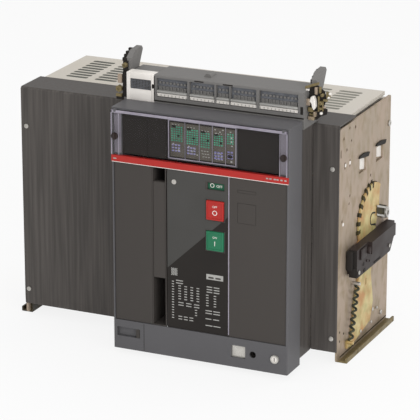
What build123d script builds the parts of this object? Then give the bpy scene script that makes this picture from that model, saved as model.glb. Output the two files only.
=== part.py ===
from build123d import *
import math
import os

# Withdrawable four-pole air circuit breaker, racked in its cradle.
# Millimetres. X runs along the front, +Y goes to the back, +Z is up.
# The origin is the middle of the four floor-mounting holes, on the feet's underside.

# Cradle
cradle_width = 551.0
plate_t = 3.0
plate_front = -109.0
plate_back = 110.0
plate_bottom = 3.0
plate_top = 384.0
rail_front = -100.0
rail_flange = 30.0
rail_t = 3.0
rail_outreach = 13.5
rail_lip = 8.0
rail_inner_front = -56.0
rail_leg_top = 22.0
mount_hole_r = 5.5
mount_hole_x = 256.0
mount_hole_y = 44.0
pan_front = -40.0
pan_t = 3.0
wall_t = 12.0
wall_top = 379.0
wall_bottom = 6.5
cup_depth = 40.0
cup_floor = 10.0
cup_width = 500.0

# Clearances
fit = 0.3
slide_gap = 0.3
pin_gap = 0.05
seat_gap = 0.1

# Poles
pole_pitch = 129.0
pole_count = 4
pole_centres = [(i - (pole_count - 1) / 2) * pole_pitch for i in range(pole_count)]
bar_width = 60.0
bar_t = 12.0
upper_bar_z = 264.0
lower_bar_z = 104.0
bar_tip = 110.0
terminal_back = 175.0
terminal_hole_r = 6.5
cup_half_width = 36.0
cup_half_height = 20.0
jaw_t = 8.0
jaw_front = 100.0

# Racking and pull-out
racking_travel = 60.0
shutter_t = 2.0
shutter_lift = 45.0
shutter_margin = 10.0
runner_bottom = 32.0
runner_top = 66.0
runner_wall = 2.0
slide_back = 92.0
slide_front = -100.0
rail_groove = 14.0

# Front shield
shield_left = -65.0
shield_right = 233.0
shield_bottom = 10.0
shield_top = 406.0
shield_front = -208.0
shield_depth = 50.0
shield_wall = 3.0
strip_height = 48.0
panel_inset = 1.5
panel_t = 3.0
band_bottom = 320.0
band_height = 10.0
band_proud = 2.0
cover_gap = 0.6
cover_depth = 4.4
cover_wall = 2.0

# Side covers and hood
cover_front = -112.0
cover_sheet = 2.0
cover_bottom = 20.0
cover_top = 390.0
flange_back = -44.0
lip_height = 14.0
lip_set_back = 0.8

# Front controls
lever_slot_left = 3.0
lever_slot_right = 27.0
lever_bottom = 138.0
lever_top = 295.0
lever_t = 14.0
lever_pivot_y = -186.0
lever_pivot_z = 152.0
name_left = 28.5
name_right = 132.0
button_left = 95.5
button_width = 29.5
button_height = 31.5
open_button_bottom = 245.3
close_button_bottom = 195.7
button_travel = 4.0
flag_height = 11.0
flag_bottom = 294.0
handle_hole_x = 174.6
handle_hole_z = 35.0
handle_hole_r = 5.5
screw_r = 6.0
lock_x = 212.0
lock_z = 34.0
lock_r = 7.0
pointer_travel = 31.0
knob_z = 362.0
knob_r = 5.5

# Pole unit, behind the mechanism
housing_front = -58.0
housing_back = 92.0
housing_bottom = 50.0
housing_top = 284.0
housing_wall = 10.0
chamber_half = 57.0
carriage_t = 2.5
carriage_half = 258.0
chute_top = 390.0
chute_front = -43.5
chute_wall = 4.0
chute_roof = 6.0
chute_lip = 14.0
slot_length = 40.0
slot_width = 9.5
slot_pitch = 14.0
slot_rows = 8
slot_first_y = -22.0
slot_rib = 6.0
contact_pivot_y = 0.0
contact_pivot_z = 130.0
contact_angle = 14.0
shaft_y = -85.0
shaft_z = 200.0
shaft_r = 12.0
camshaft_y = -100.0
camshaft_z = 264.0
camshaft_r = 9.0
frame_front = -145.0

# Terminal box on top of the hood
box_left = -18.0
box_right = 233.0
box_front = -152.0
box_back = -95.0
box_top = 449.0
box_wall = 4.0
module_width = 47.0
module_top = 447.0
tab_width = 9.0
tab_depth = 41.0
tab_top = 476.0

# Outside of the right side plate
sector_y = 28.0
sector_z = 200.0
sector_r = 59.0
sector_t = 3.0
contact_box_front = -72.0
contact_box_back = 93.0
contact_box_bottom = 133.0
contact_box_top = 180.0
contact_box_t = 13.5

outer = cradle_width / 2
inner = outer - plate_t
base_top = rail_t + pan_t
wall_front = plate_back - wall_t
shield_back = shield_front + shield_depth
strip_top = shield_bottom + strip_height
band_top = band_bottom + band_height
panel_front = shield_front + panel_inset
panel_back = panel_front + panel_t
os.makedirs("parts", exist_ok=True)


def block(x0, x1, y0, y1, z0, z1, mode=Mode.ADD):
    """A box between two corners, added to or cut from the part being built."""
    with Locations(((x0 + x1) / 2, (y0 + y1) / 2, (z0 + z1) / 2)):
        Box(x1 - x0, y1 - y0, z1 - z0, mode=mode)


def rod(axis, start, end, u, v, radius, mode=Mode.ADD):
    """A round bar along X, Y or Z, at the other two coordinates u and v."""
    middle = (start + end) / 2
    places = {"x": (middle, u, v), "y": (u, middle, v), "z": (u, v, middle)}
    turns = {"x": (0, 90, 0), "y": (90, 0, 0), "z": (0, 0, 0)}
    with Locations(Location(places[axis], turns[axis])):
        Cylinder(radius, end - start, mode=mode)


def save(piece, name):
    """Label one finished piece and write its STEP file."""
    piece.part.label = name
    export_step(piece.part, "parts/" + name + ".step")


# Side plates, with windows, small holes and a folded front edge
window_centres = [(62.5, 300.0), (-11.0, 301.0)]
small_holes = [(-96, 232, 2.6), (-64, 265, 2.2), (-67, 253, 2.2), (25, 273, 2.6), (-61, 354, 2.2)]
small_holes += [(-45, 371.5, 2.8), (-93, 365, 2.6), (-80, 344, 2.6), (-69, 376, 2.4)]
window_size = (29.0, 24.0)
for side, sign in (("left", -1), ("right", 1)):
    with BuildPart() as side_plate:
        with BuildSketch(Plane.YZ.offset(sign * (outer - plate_t / 2))):
            with Locations(((plate_front + plate_back) / 2, (plate_bottom + plate_top) / 2)):
                RectangleRounded(plate_back - plate_front, plate_top - plate_bottom, 4.0)
            with Locations(*window_centres):
                Rectangle(*window_size, mode=Mode.SUBTRACT)
            for hole_y, hole_z, hole_r in small_holes:
                with Locations((hole_y, hole_z)):
                    Circle(hole_r, mode=Mode.SUBTRACT)
            with Locations((plate_front + 5.0, 343.0)):
                SlotOverall(14.0, 4.0, rotation=90, mode=Mode.SUBTRACT)
            with Locations((-87.0, 320.0), (-66.0, 319.0)):
                SlotOverall(12.0, 5.0, rotation=90, mode=Mode.SUBTRACT)
        extrude(amount=plate_t / 2, both=True)
    save(side_plate, "side_plate_" + side)

# Foot rails: a folded channel under each side plate, with the floor-mounting holes
rail_out = outer + rail_outreach
with BuildPart() as foot_rails:
    for sign in (-1, 1):
        inside = sign * (inner - rail_t)
        with BuildSketch(Plane.XZ.offset(-plate_back)):
            with BuildLine():
                Polyline(
                    (inside, 0), (sign * rail_out, 0), (sign * rail_out, rail_lip),
                    (sign * (rail_out - rail_t), rail_lip), (sign * (rail_out - rail_t), rail_t),
                    (inside, rail_t), close=True)
            make_face()
        extrude(amount=plate_back - rail_front)
        ends = sorted((sign * (outer - rail_flange), inside))
        block(ends[0], ends[1], rail_inner_front, plate_back, 0, rail_t)
        ends = sorted((inside, sign * inner))
        block(ends[0], ends[1], rail_front, wall_front - 6.0, rail_t, rail_leg_top)
        with Locations(*[(sign * mount_hole_x, y, 0) for y in (-mount_hole_y, mount_hole_y)]):
            Cylinder(mount_hole_r, 4 * rail_t, mode=Mode.SUBTRACT)
save(foot_rails, "foot_rails")

# Base pan between the rails, with the racking nut's block
nut_front = -20.0
nut_length = 30.0
nut_half = 14.0
pan_half = inner - rail_t - fit
pan_notch = 12.0
with BuildPart() as base_pan:
    block(-pan_half, pan_half, pan_front, wall_front, rail_t, base_top)
    block(handle_hole_x - nut_half, handle_hole_x + nut_half, nut_front, nut_front + nut_length,
          base_top, handle_hole_z + nut_half - pan_t)
    rod("y", nut_front, nut_front + nut_length, handle_hole_x, handle_hole_z, screw_r + fit, Mode.SUBTRACT)
    for sign in (-1, 1):
        with Locations(*[(sign * mount_hole_x, y, base_top) for y in (-mount_hole_y, mount_hole_y)]):
            Cylinder(pan_notch, 4 * pan_t, mode=Mode.SUBTRACT)
save(base_pan, "base_pan")

# Rear insulating wall with eight cups and the shutters' guides
guide_top = upper_bar_z + cup_half_height + shutter_lift + shutter_margin
shutter_half = inner - 8.0
with BuildPart() as rear_wall:
    block(-inner + fit, inner - fit, wall_front, plate_back, wall_bottom, wall_top)
    block(-cup_width / 2, cup_width / 2, plate_back, plate_back + cup_depth,
          lower_bar_z - 2 * cup_half_height, upper_bar_z + 2 * cup_half_height)
    for centre in pole_centres:
        for height in (lower_bar_z, upper_bar_z):
            block(centre - cup_half_width, centre + cup_half_width,
                  wall_front, plate_back + cup_depth - cup_floor,
                  height - cup_half_height, height + cup_half_height, Mode.SUBTRACT)
            block(centre - bar_width / 2 - seat_gap, centre + bar_width / 2 + seat_gap,
                  plate_back, plate_back + cup_depth,
                  height - bar_t / 2 - seat_gap, height + bar_t / 2 + seat_gap, Mode.SUBTRACT)
    shutter_back = wall_front - slide_gap
    shutter_front = shutter_back - shutter_t
    strip_back = shutter_front - slide_gap
    for sign in (-1, 1):
        ends = sorted((sign * (shutter_half + fit), sign * (inner - fit)))
        block(ends[0], ends[1], strip_back, wall_front, wall_bottom, guide_top)
        ends = sorted((sign * (shutter_half - 6.0), sign * (inner - fit)))
        block(ends[0], ends[1], strip_back - 1.6, strip_back, wall_bottom, guide_top)
save(rear_wall, "rear_wall")

# Safety shutters, shown open
shutters = (("upper", upper_bar_z, 1), ("lower", lower_bar_z, -1))
for name, height, sign in shutters:
    window_edge = height - sign * (cup_half_height + shutter_margin)
    solid_edge = height + sign * (cup_half_height + shutter_lift + shutter_margin)
    low, high = sorted((window_edge, solid_edge))
    with BuildPart() as shutter:
        block(-shutter_half, shutter_half, shutter_front, shutter_back, low, high)
        for centre in pole_centres:
            block(centre - cup_half_width, centre + cup_half_width, shutter_front, shutter_back,
                  height - cup_half_height, height + cup_half_height, Mode.SUBTRACT)
    save(shutter, "safety_shutter_" + name)

# Cradle terminals, and the jaws that join them to the breaker's bars
with BuildPart() as cradle_terminals:
    for centre in pole_centres:
        for height in (lower_bar_z, upper_bar_z):
            block(centre - bar_width / 2, centre + bar_width / 2, bar_tip + 2.0, terminal_back,
                  height - bar_t / 2, height + bar_t / 2)
            for offset in (-15.0, 15.0):
                with Locations((centre + offset, terminal_back - 12.5, height)):
                    Cylinder(terminal_hole_r, 2 * bar_t, mode=Mode.SUBTRACT)
save(cradle_terminals, "cradle_terminals")

jaw_back = plate_back + cup_depth - cup_floor - 2.0
with BuildPart() as jaws:
    for centre in pole_centres:
        for height in (lower_bar_z, upper_bar_z):
            for sign in (-1, 1):
                near = height + sign * (bar_t / 2 + slide_gap)
                low, high = sorted((near, near + sign * jaw_t))
                for finger in range(6):
                    left = centre - bar_width / 2 + 2.0 + finger * 9.5
                    block(left, left + 8.5, jaw_front, jaw_back, low, high)
save(jaws, "jaw_clusters")

# Runners on the side plates and the extension rails inside them
runner_inside = inner - 10.0
with BuildPart() as runners:
    for sign in (-1, 1):
        ends = sorted((sign * inner, sign * (inner - runner_wall)))
        block(ends[0], ends[1], slide_front, slide_back, runner_bottom, runner_top)
        ends = sorted((sign * inner, sign * runner_inside))
        for low in (runner_bottom, runner_top - runner_wall):
            block(ends[0], ends[1], slide_front, slide_back, low, low + runner_wall)
save(runners, "rail_runners")

rail_mid = (runner_bottom + runner_top) / 2
rail_outside = inner - runner_wall - slide_gap
rail_inside = runner_inside + slide_gap
with BuildPart() as extension_rails:
    for sign in (-1, 1):
        ends = sorted((sign * rail_outside, sign * rail_inside))
        block(ends[0], ends[1], slide_front, slide_back,
              runner_bottom + runner_wall + slide_gap, runner_top - runner_wall - slide_gap)
        ends = sorted((sign * (rail_inside + 4.0), sign * rail_inside))
        block(ends[0], ends[1], slide_front, slide_back,
              rail_mid - rail_groove / 2, rail_mid + rail_groove / 2, Mode.SUBTRACT)
save(extension_rails, "extension_rails")

# Zinc lever that drives the shutters: a toothed sector on a long flared arm
sector_in = outer + fit
spring_top = (-44.0, 111.0)
spring_foot = (-68.0, 27.0)
spring_r = 5.0
spring_x = outer + spring_r + 2.0
hook_offset = 3.3
tooth_count = 8
sector_start = 54.0
sector_sweep = 152.0
tooth_first = 88.0
tooth_pitch = 14.0
tooth_size = (7.0, 10.0)
pivot_r = 7.0
arm_outline = [(59, 242), (57, 214), (46, 190), (37, 161), (26, 110), (38, 58), (26, 28), (-60, 12)]
arm_outline += [(-53, 38), (-42.5, 85), (-23, 126), (-34, 175)]
with BuildPart() as shutter_lever:
    with BuildSketch(Plane.YZ.offset(sector_in)):
        with BuildLine():
            Polyline(*arm_outline, close=True)
        make_face()
        with BuildLine():
            arc = CenterArc((sector_y, sector_z), sector_r, sector_start, sector_sweep)
            Line(arc @ 1, (sector_y, sector_z))
            Line((sector_y, sector_z), arc @ 0)
        make_face()
        for i in range(tooth_count):
            turn = tooth_first + i * tooth_pitch
            reach = sector_r - 3.5
            with Locations(Location((sector_y + reach * math.cos(math.radians(turn)),
                                     sector_z + reach * math.sin(math.radians(turn)), 0), (0, 0, turn))):
                Rectangle(tooth_size[1], tooth_size[0], mode=Mode.SUBTRACT)
        with Locations((sector_y, sector_z)):
            Circle(pivot_r + pin_gap, mode=Mode.SUBTRACT)
        with Locations((4.7, 102.0)):
            SlotOverall(12.0, 4.0, rotation=90, mode=Mode.SUBTRACT)
    extrude(amount=sector_t)
    block(sector_in, sector_in + sector_t, -73.0, -54.0, 14.0, 26.0)
    rod("x", sector_in, spring_x + spring_r, spring_foot[0] - hook_offset * 0.3, spring_foot[1] - hook_offset, 3.0)
save(shutter_lever, "shutter_lever")

# Black contact box over the sector, on two feet
contact_box_in = sector_in + sector_t + fit
contact_box_out = contact_box_in + contact_box_t
with BuildPart() as contact_box:
    with BuildSketch(Plane.YZ.offset(contact_box_in)):
        with BuildLine():
            Polyline(
                (contact_box_front, contact_box_bottom), (contact_box_back - 18.0, contact_box_bottom),
                (contact_box_back, contact_box_bottom + 22.0), (contact_box_back, contact_box_top),
                (contact_box_front, contact_box_top), close=True)
        make_face()
    extrude(amount=contact_box_t)
    fillet(contact_box.edges().filter_by(Axis.X), 2.0)
    block(contact_box_out, contact_box_out + 7.0, -25.0, 80.0, 160.0, contact_box_top)
    block(outer, contact_box_in, contact_box_front + 2.0, contact_box_front + 22.0, 138.0, 175.0)
    block(outer, contact_box_in, contact_box_back - 16.0, contact_box_back - 3.0, 164.0, 174.0)
save(contact_box, "contact_box")

# Return spring along the lever's front edge
spring_lean = math.degrees(math.atan2(spring_top[0] - spring_foot[0], spring_top[1] - spring_foot[1]))
spring_plane = Plane(origin=(spring_x, *spring_foot), x_dir=(1, 0, 0),
                     z_dir=(0, spring_top[0] - spring_foot[0], spring_top[1] - spring_foot[1]))
spring_length = math.dist(spring_top, spring_foot)
with BuildPart() as side_spring:
    with BuildSketch(spring_plane):
        Circle(spring_r)
        Circle(spring_r - 1.4, mode=Mode.SUBTRACT)
    extrude(amount=spring_length)
save(side_spring, "side_spring")

# Fasteners, pins and the roller bracket on the outside of the right plate
screw_places = [(107.0 - 4.0, 338.0, 5.0), (75.5, 35.0, 3.6), (82.0, 60.0, 3.0)]
with BuildPart() as cradle_fasteners:
    for screw_y, screw_z, head_r in screw_places:
        rod("x", outer, outer + 2.6, screw_y, screw_z, head_r)
    rod("x", outer, spring_x + spring_r, spring_top[0] + hook_offset * 0.3, spring_top[1] + hook_offset, 3.0)
    rod("x", outer, contact_box_in - 0.1, sector_y, sector_z, pivot_r)
    block(outer, outer + 1.5, 72.0, 95.0, 192.0, 214.0)
    rod("x", outer + 1.5, outer + 16.0, 82.0, 202.0, 4.5)
    rod("x", outer + 8.0, outer + 14.0, 82.0, 202.0, 8.0)
save(cradle_fasteners, "cradle_fasteners")

# Front shield: a deep frame with the bottom strip and two end posts, and two hinge blocks seated on it
post_width = 14.0
post_top = shield_top - shield_wall
hinge_y = shield_front - 3.4
hinge_z = shield_top - 3.5
hinge_r = 1.2
lug_centres = (shield_left + 8.0, shield_right - 8.0)
pointer_left = -59.0
pointer_right = -19.0
pointer_low = 31.0
pointer_high = 46.0
window_left = 138.0
window_right = 162.0
window_low = 26.0
window_high = 46.0
with BuildPart() as front_shield:
    with BuildSketch(Plane.XY.offset(shield_bottom)):
        with Locations(((shield_left + shield_right) / 2, shield_front + shield_depth / 2)):
            Rectangle(shield_right - shield_left, shield_depth)
    extrude(amount=shield_top - shield_bottom)
    fillet(front_shield.edges().filter_by(Axis.Z).group_by(Axis.Y)[0], 2.0)
    block(shield_left + shield_wall, shield_right - shield_wall, shield_front + shield_wall, shield_back,
          shield_bottom + shield_wall, shield_top - shield_wall, Mode.SUBTRACT)
    block(shield_left + shield_wall, shield_right - shield_wall, shield_front, shield_back,
          strip_top, shield_top - shield_wall, Mode.SUBTRACT)
    post_front = shield_front + shield_wall
    for edge, turn in ((shield_left + shield_wall, 1), (shield_right - shield_wall, -1)):
        ends = sorted((edge, edge + turn * post_width))
        block(ends[0], ends[1], post_front, post_front + 10.0, band_top, post_top)
    block(pointer_left - 3.0, pointer_right + 3.0, post_front, post_front + 5.0,
          pointer_low - 3.0, pointer_high + 3.0)
    block(pointer_left, pointer_right, shield_front, post_front + 3.0, pointer_low, pointer_high,
          Mode.SUBTRACT)
    block(window_left, window_right, shield_front, post_front, window_low, window_high, Mode.SUBTRACT)
    rod("y", shield_front - 1.0, post_front + 1.0, handle_hole_x, handle_hole_z, handle_hole_r, Mode.SUBTRACT)
    rod("y", shield_front - 1.0, post_front + 1.0, lock_x, lock_z, lock_r + pin_gap, Mode.SUBTRACT)
    for lug in lug_centres:
        block(lug - 2.0, lug + 2.0, hinge_y - 2.0, shield_front - seat_gap, hinge_z - 2.0, hinge_z + 2.0)
        rod("x", lug - 3.0, lug + 3.0, hinge_y, hinge_z, hinge_r + pin_gap, Mode.SUBTRACT)
save(front_shield, "front_shield")

# Dark front panels on each side of the nameplate, and the nameplate
inside_left = shield_left + shield_wall + fit
inside_right = shield_right - shield_wall - fit
panel_low = strip_top + fit
panel_high = band_bottom - fit
with BuildPart() as front_panels:
    block(inside_left, lever_slot_left - fit, panel_front, panel_back, panel_low, panel_high)
    block(name_right + fit, inside_right, panel_front, panel_back, panel_low, panel_high)
    chamfer(front_panels.faces().group_by(Axis.Y)[0].edges(), 0.6)
    for low, high in ((246.0, 279.0), (295.0, 300.0)):
        block(147.5, 178.5, panel_front, panel_front + 0.5, low, high, Mode.SUBTRACT)
        block(148.3, 177.7, panel_front, panel_front + 0.5, low + 0.8, high - 0.8)
save(front_panels, "front_panels")

button_gap = 0.5
with BuildPart() as nameplate:
    block(name_left, name_right, panel_front, panel_back, panel_low, panel_high)
    chamfer(nameplate.faces().sort_by(Axis.Y)[0].edges(), 0.5)
    for low in (open_button_bottom, close_button_bottom):
        block(button_left - button_gap, button_left + button_width + button_gap, panel_front, panel_back,
              low - button_gap, low + button_height + button_gap, Mode.SUBTRACT)
    block(button_left + 1.5, button_left + button_width + 0.5, panel_front, panel_back,
          flag_bottom, flag_bottom + flag_height, Mode.SUBTRACT)
save(nameplate, "nameplate_panel")

# Push buttons, with a collar behind the nameplate
button_front = panel_front - 2.5
button_back = panel_back + 10.0 + button_travel
for name, low in (("open", open_button_bottom), ("close", close_button_bottom)):
    with BuildPart() as button:
        block(button_left, button_left + button_width, button_front, button_back, low, low + button_height)
        fillet(button.faces().sort_by(Axis.Y)[0].edges(), 1.2)
        block(button_left - 2.0, button_left + button_width + 2.0, panel_back + fit, panel_back + 2.0,
              low - 2.0, low + button_height + 2.0)
    save(button, name + "_button")

# Flag that shows the state of the contacts
with BuildPart() as state_flag:
    block(button_left - 1.0, button_left + button_width + 3.0, panel_back + slide_gap, panel_back + 1.3,
          flag_bottom - 1.0, flag_bottom + 2 * flag_height + 1.0)
save(state_flag, "state_flag")

# Lever housing: a channel behind the slot, closed at the back
housing_depth = 44.0
lever_walls = 1.5
with BuildPart() as lever_housing:
    block(lever_slot_left, lever_slot_right, panel_front, panel_front + housing_depth,
          panel_low, panel_high)
    block(lever_slot_left + lever_walls, lever_slot_right - lever_walls, panel_front,
          panel_front + housing_depth - lever_walls, panel_low + lever_walls, panel_high - lever_walls,
          Mode.SUBTRACT)
    rod("x", lever_slot_left, lever_slot_right, lever_pivot_y, lever_pivot_z, 4.0 + pin_gap, Mode.SUBTRACT)
save(lever_housing, "lever_housing")

# Spring-charging lever: a flat grip with a hub at its foot
lever_left = lever_slot_left + lever_walls + 0.6
lever_right = lever_slot_right - lever_walls - 0.6
lever_front = panel_front + 0.5
with BuildPart() as charging_lever:
    with BuildSketch(Plane.YZ.offset(lever_left)):
        with BuildLine():
            Polyline(
                (lever_front, lever_bottom), (lever_front + lever_t, lever_bottom),
                (lever_pivot_y + 9.0, lever_pivot_z - 6.0), (lever_pivot_y + 9.0, lever_pivot_z + 8.0),
                (lever_front + lever_t, lever_pivot_z + 40.0), (lever_front + lever_t - 3.0, lever_top),
                (lever_front, lever_top), close=True)
        make_face()
    extrude(amount=lever_right - lever_left)
    fillet(charging_lever.edges().filter_by(Axis.X).sort_by(Axis.Z)[-2:], 2.5)
    rod("x", lever_slot_left - 1.0, lever_slot_right + 1.0, lever_pivot_y, lever_pivot_z, 4.0)
save(charging_lever, "charging_lever")

# Red band across the front
with BuildPart() as red_band:
    block(inside_left, inside_right, shield_front - band_proud, panel_back, band_bottom, band_top)
    block(shield_left + 0.2, shield_right - 0.2, shield_front - band_proud, shield_front - 0.1,
          band_bottom, band_top)
save(red_band, "red_band")

# Transparent cover over the trip unit, hinged along its top edge
cover_low = band_top + cover_gap
cover_high = shield_top - 2.4
cover_back = shield_front - 0.6
cover_face = cover_back - cover_depth
knob_left_x = shield_left + 8.5
knob_right_x = shield_right - 7.0
with BuildPart() as clear_cover:
    block(shield_left + 1.0, shield_right - 1.0, cover_face, cover_face + cover_wall, cover_low, cover_high)
    fillet(clear_cover.edges().filter_by(Axis.Y), 3.0)
    block(shield_left + 1.0, shield_left + 3.0, cover_face, cover_back, cover_low + 4.0, hinge_z - 6.0)
    block(shield_right - 3.0, shield_right - 1.0, cover_face, cover_back, cover_low + 4.0, hinge_z - 6.0)
    block(shield_left + 4.0, shield_right - 4.0, cover_face, cover_back, cover_low, cover_low + 1.6)
    for lug in lug_centres:
        block(lug - 2.5, lug + 2.5, cover_face - 1.0, cover_back, hinge_z - 5.5, cover_high + 1.0,
              Mode.SUBTRACT)
        rod("x", lug - 5.0, lug + 5.0, hinge_y, hinge_z, hinge_r)
    for knob_x in (knob_left_x, knob_right_x):
        rod("y", cover_face - 1.0, cover_back, knob_x, knob_z, 2.5 + pin_gap, Mode.SUBTRACT)
save(clear_cover, "transparent_cover")

for side, knob_x in (("left", knob_left_x), ("right", knob_right_x)):
    with BuildPart() as knob:
        rod("y", cover_face - 3.0, cover_face - fit, knob_x, knob_z, knob_r)
        block(knob_x - 1.6, knob_x + 1.6, cover_face - 5.0, cover_face - 3.0, knob_z - 5.0, knob_z + 5.0)
        rod("y", cover_face - fit, cover_back, knob_x, knob_z, 2.5)
    save(knob, "cover_knob_" + side)

# Trip unit and the blank modules beside it
module_low = band_top + 3.0
module_high = shield_top - 7.0
trip_left = 29.0
trip_right = 146.0
module_front = shield_front + 3.0
with BuildPart() as trip_unit:
    block(trip_left, trip_right, module_front, module_front + 46.0, module_low, module_high)
    chamfer(trip_unit.faces().sort_by(Axis.Y)[0].edges(), 1.0)
    block(trip_left + 3.0, trip_right - 3.0, module_front, module_front + 1.2,
          module_low + 3.0, module_high - 3.0, Mode.SUBTRACT)
save(trip_unit, "trip_unit")

post_inner_left = shield_left + shield_wall + post_width + fit
post_inner_right = shield_right - shield_wall - post_width - fit
with BuildPart() as blanks:
    for left, right in ((post_inner_left, -4.6), (-4.0, trip_left - 0.6), (trip_right + 0.6, post_inner_right)):
        block(left, right, module_front, module_front + 20.0, module_low, module_high)
save(blanks, "blank_modules")

# Racking shutter, lock barrel, position pointer and racking screw in the strip
with BuildPart() as racking_shutter:
    block(window_left - 3.0, window_right + 3.0, post_front + slide_gap, post_front + 1.8,
          window_low - 2.0, window_high + 2.0)
save(racking_shutter, "racking_shutter")

with BuildPart() as lock_barrel:
    rod("y", shield_front - 2.0, shield_front + 26.0, lock_x, lock_z, lock_r)
    block(lock_x - 0.6, lock_x + 0.6, shield_front - 2.0, shield_front, lock_z - 4.0, lock_z + 4.0,
          Mode.SUBTRACT)
save(lock_barrel, "lock_barrel")

with BuildPart() as pointer:
    block(pointer_right - 7.0, pointer_right - 1.0, shield_front + 0.5, post_front + 3.0 - slide_gap,
          pointer_low + fit, pointer_high - fit)
save(pointer, "position_pointer")

screw_front = shield_front + 8.0
screw_back = nut_front + racking_travel + 20.0
with BuildPart() as racking_screw:
    rod("y", screw_front, screw_back, handle_hole_x, handle_hole_z, screw_r)
    with BuildSketch(Plane.XZ.offset(-screw_front)):
        with Locations((handle_hole_x, handle_hole_z)):
            RegularPolygon(3.5, 6)
    extrude(amount=-14.0, mode=Mode.SUBTRACT)
save(racking_screw, "racking_screw")

# Side covers: front sheet, top flange and a lower lip folded back a little
cover_back_face = cover_front + cover_sheet
hood_left = shield_left + 1.0
hood_right = shield_right - 1.0
covers = (("left", -outer, hood_left - fit), ("right", hood_right + fit, outer))
for side, left, right in covers:
    with BuildPart() as side_cover:
        with BuildSketch(Plane.YZ.offset(left)):
            with BuildLine():
                Polyline(
                    (cover_front, cover_bottom + lip_height), (cover_front, cover_top - 3.0),
                    (cover_front + 3.0, cover_top), (flange_back, cover_top),
                    (flange_back, cover_top - cover_sheet), (cover_back_face, cover_top - cover_sheet),
                    (cover_back_face, cover_bottom + lip_height),
                    (cover_back_face + lip_set_back, cover_bottom),
                    (cover_front + lip_set_back, cover_bottom), close=True)
            make_face()
        extrude(amount=right - left)
    save(side_cover, "side_cover_" + side)

# Hood of the mechanism, from the shield back to the flanges' rear edge
with BuildPart() as hood:
    block(hood_left, hood_right, shield_back + fit, flange_back, cover_top - cover_sheet, cover_top)
    for left in (hood_left, hood_right - cover_sheet):
        block(left, left + cover_sheet, shield_back + fit, cover_front - fit, cover_bottom, cover_top)
save(hood, "mechanism_hood")

# Screws of the covers and the nameplate
with BuildPart() as panel_screws:
    for screw_x, screw_z in ((-266, 325), (-268, 46), (265, 320.5), (267, 43)):
        rod("y", cover_front - 1.6, cover_front, screw_x, screw_z, 3.6)
    rod("y", panel_front - 1.2, panel_front, 41.0, 298.5, 4.0)
save(panel_screws, "panel_screws")

# Pole housing: four chambers open at the top
shaft_slot = (180.0, 224.0)
with BuildPart() as pole_housing:
    block(-carriage_half + carriage_t + fit, carriage_half - carriage_t - fit,
          housing_front, housing_back, housing_bottom, housing_top)
    for centre in pole_centres:
        block(centre - chamber_half, centre + chamber_half, housing_front + housing_wall,
              housing_back - housing_wall, housing_bottom + housing_wall, housing_top, Mode.SUBTRACT)
        for height in (lower_bar_z, upper_bar_z):
            block(centre - bar_width / 2 - seat_gap, centre + bar_width / 2 + seat_gap,
                  housing_back - housing_wall, housing_back,
                  height - bar_t / 2 - seat_gap, height + bar_t / 2 + seat_gap, Mode.SUBTRACT)
        block(centre - 9.0, centre + 9.0, housing_front, housing_front + housing_wall,
              shaft_slot[0], shaft_slot[1], Mode.SUBTRACT)
save(pole_housing, "pole_housing")

# Arc chutes with slotted ivory tops; the outer two reach the side plates
chute_half = pole_pitch / 2 - fit
roof_half = inner - 5.5
chute_bottom = housing_top + fit
for index, centre in enumerate(pole_centres):
    left = centre - chute_half
    right = centre + chute_half
    roof_left = -roof_half if index == 0 else left
    roof_right = roof_half if index == pole_count - 1 else right
    with BuildPart() as chute:
        block(left, right, chute_front, housing_back - 2.0, chute_bottom, chute_top)
        block(left + chute_wall, right - chute_wall, chute_front + chute_wall,
              housing_back - 2.0 - chute_wall, chute_bottom, chute_top - chute_roof, Mode.SUBTRACT)
        block(roof_left, roof_right, chute_front, housing_back - 2.0 + chute_lip,
              chute_top - chute_roof, chute_top)
        for sign in (-1, 1):
            for row in range(slot_rows):
                middle = (centre + sign * (slot_rib + slot_length / 2), slot_first_y + row * slot_pitch)
                with BuildSketch(Plane.XY.offset(chute_top)):
                    with Locations(middle):
                        SlotOverall(slot_length, slot_width)
                extrude(amount=-chute_roof, mode=Mode.SUBTRACT)
    save(chute, "arc_chute_" + str(index + 1))

# Steel splitter plates between the chutes' walls
plate_half = chute_half - chute_wall - fit
with BuildPart() as splitters:
    for centre in pole_centres:
        for row in range(slot_rows + 1):
            middle = slot_first_y + (row - 0.5) * slot_pitch
            with BuildSketch(Plane.XZ.offset(-middle)):
                with BuildLine():
                    Polyline(
                        (centre - plate_half, 306.0), (centre - 14.0, 306.0), (centre, 334.0),
                        (centre + 14.0, 306.0), (centre + plate_half, 306.0),
                        (centre + plate_half, chute_top - chute_roof - fit),
                        (centre - plate_half, chute_top - chute_roof - fit), close=True)
                make_face()
            extrude(amount=1.0, both=True)
save(splitters, "splitter_plates")

# Breaker terminals: plug-in bars with the fixed contact pads and the pivot ears
pad_front = contact_pivot_y + 14.0
ear_in = 25.0
ear_out = 35.0
with BuildPart() as upper_bars:
    for centre in pole_centres:
        block(centre - bar_width / 2, centre + bar_width / 2, pad_front + 6.0, bar_tip,
              upper_bar_z - bar_t / 2, upper_bar_z + bar_t / 2)
        block(centre - 22.0, centre + 22.0, pad_front, pad_front + 14.0, 238.0, upper_bar_z + bar_t / 2)
save(upper_bars, "breaker_terminals_upper")

with BuildPart() as lower_bars:
    for centre in pole_centres:
        block(centre - bar_width / 2, centre + bar_width / 2, -14.0, bar_tip,
              lower_bar_z - bar_t / 2, lower_bar_z + bar_t / 2)
        for sign in (-1, 1):
            ends = sorted((centre + sign * ear_in, centre + sign * 30.0))
            block(ends[0], ends[1], -12.0, 14.0, lower_bar_z + bar_t / 2, contact_pivot_z + 10.0)
        rod("x", centre - 31.0, centre + 31.0, contact_pivot_y, contact_pivot_z, 5.0 + pin_gap, Mode.SUBTRACT)
save(lower_bars, "breaker_terminals_lower")

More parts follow.
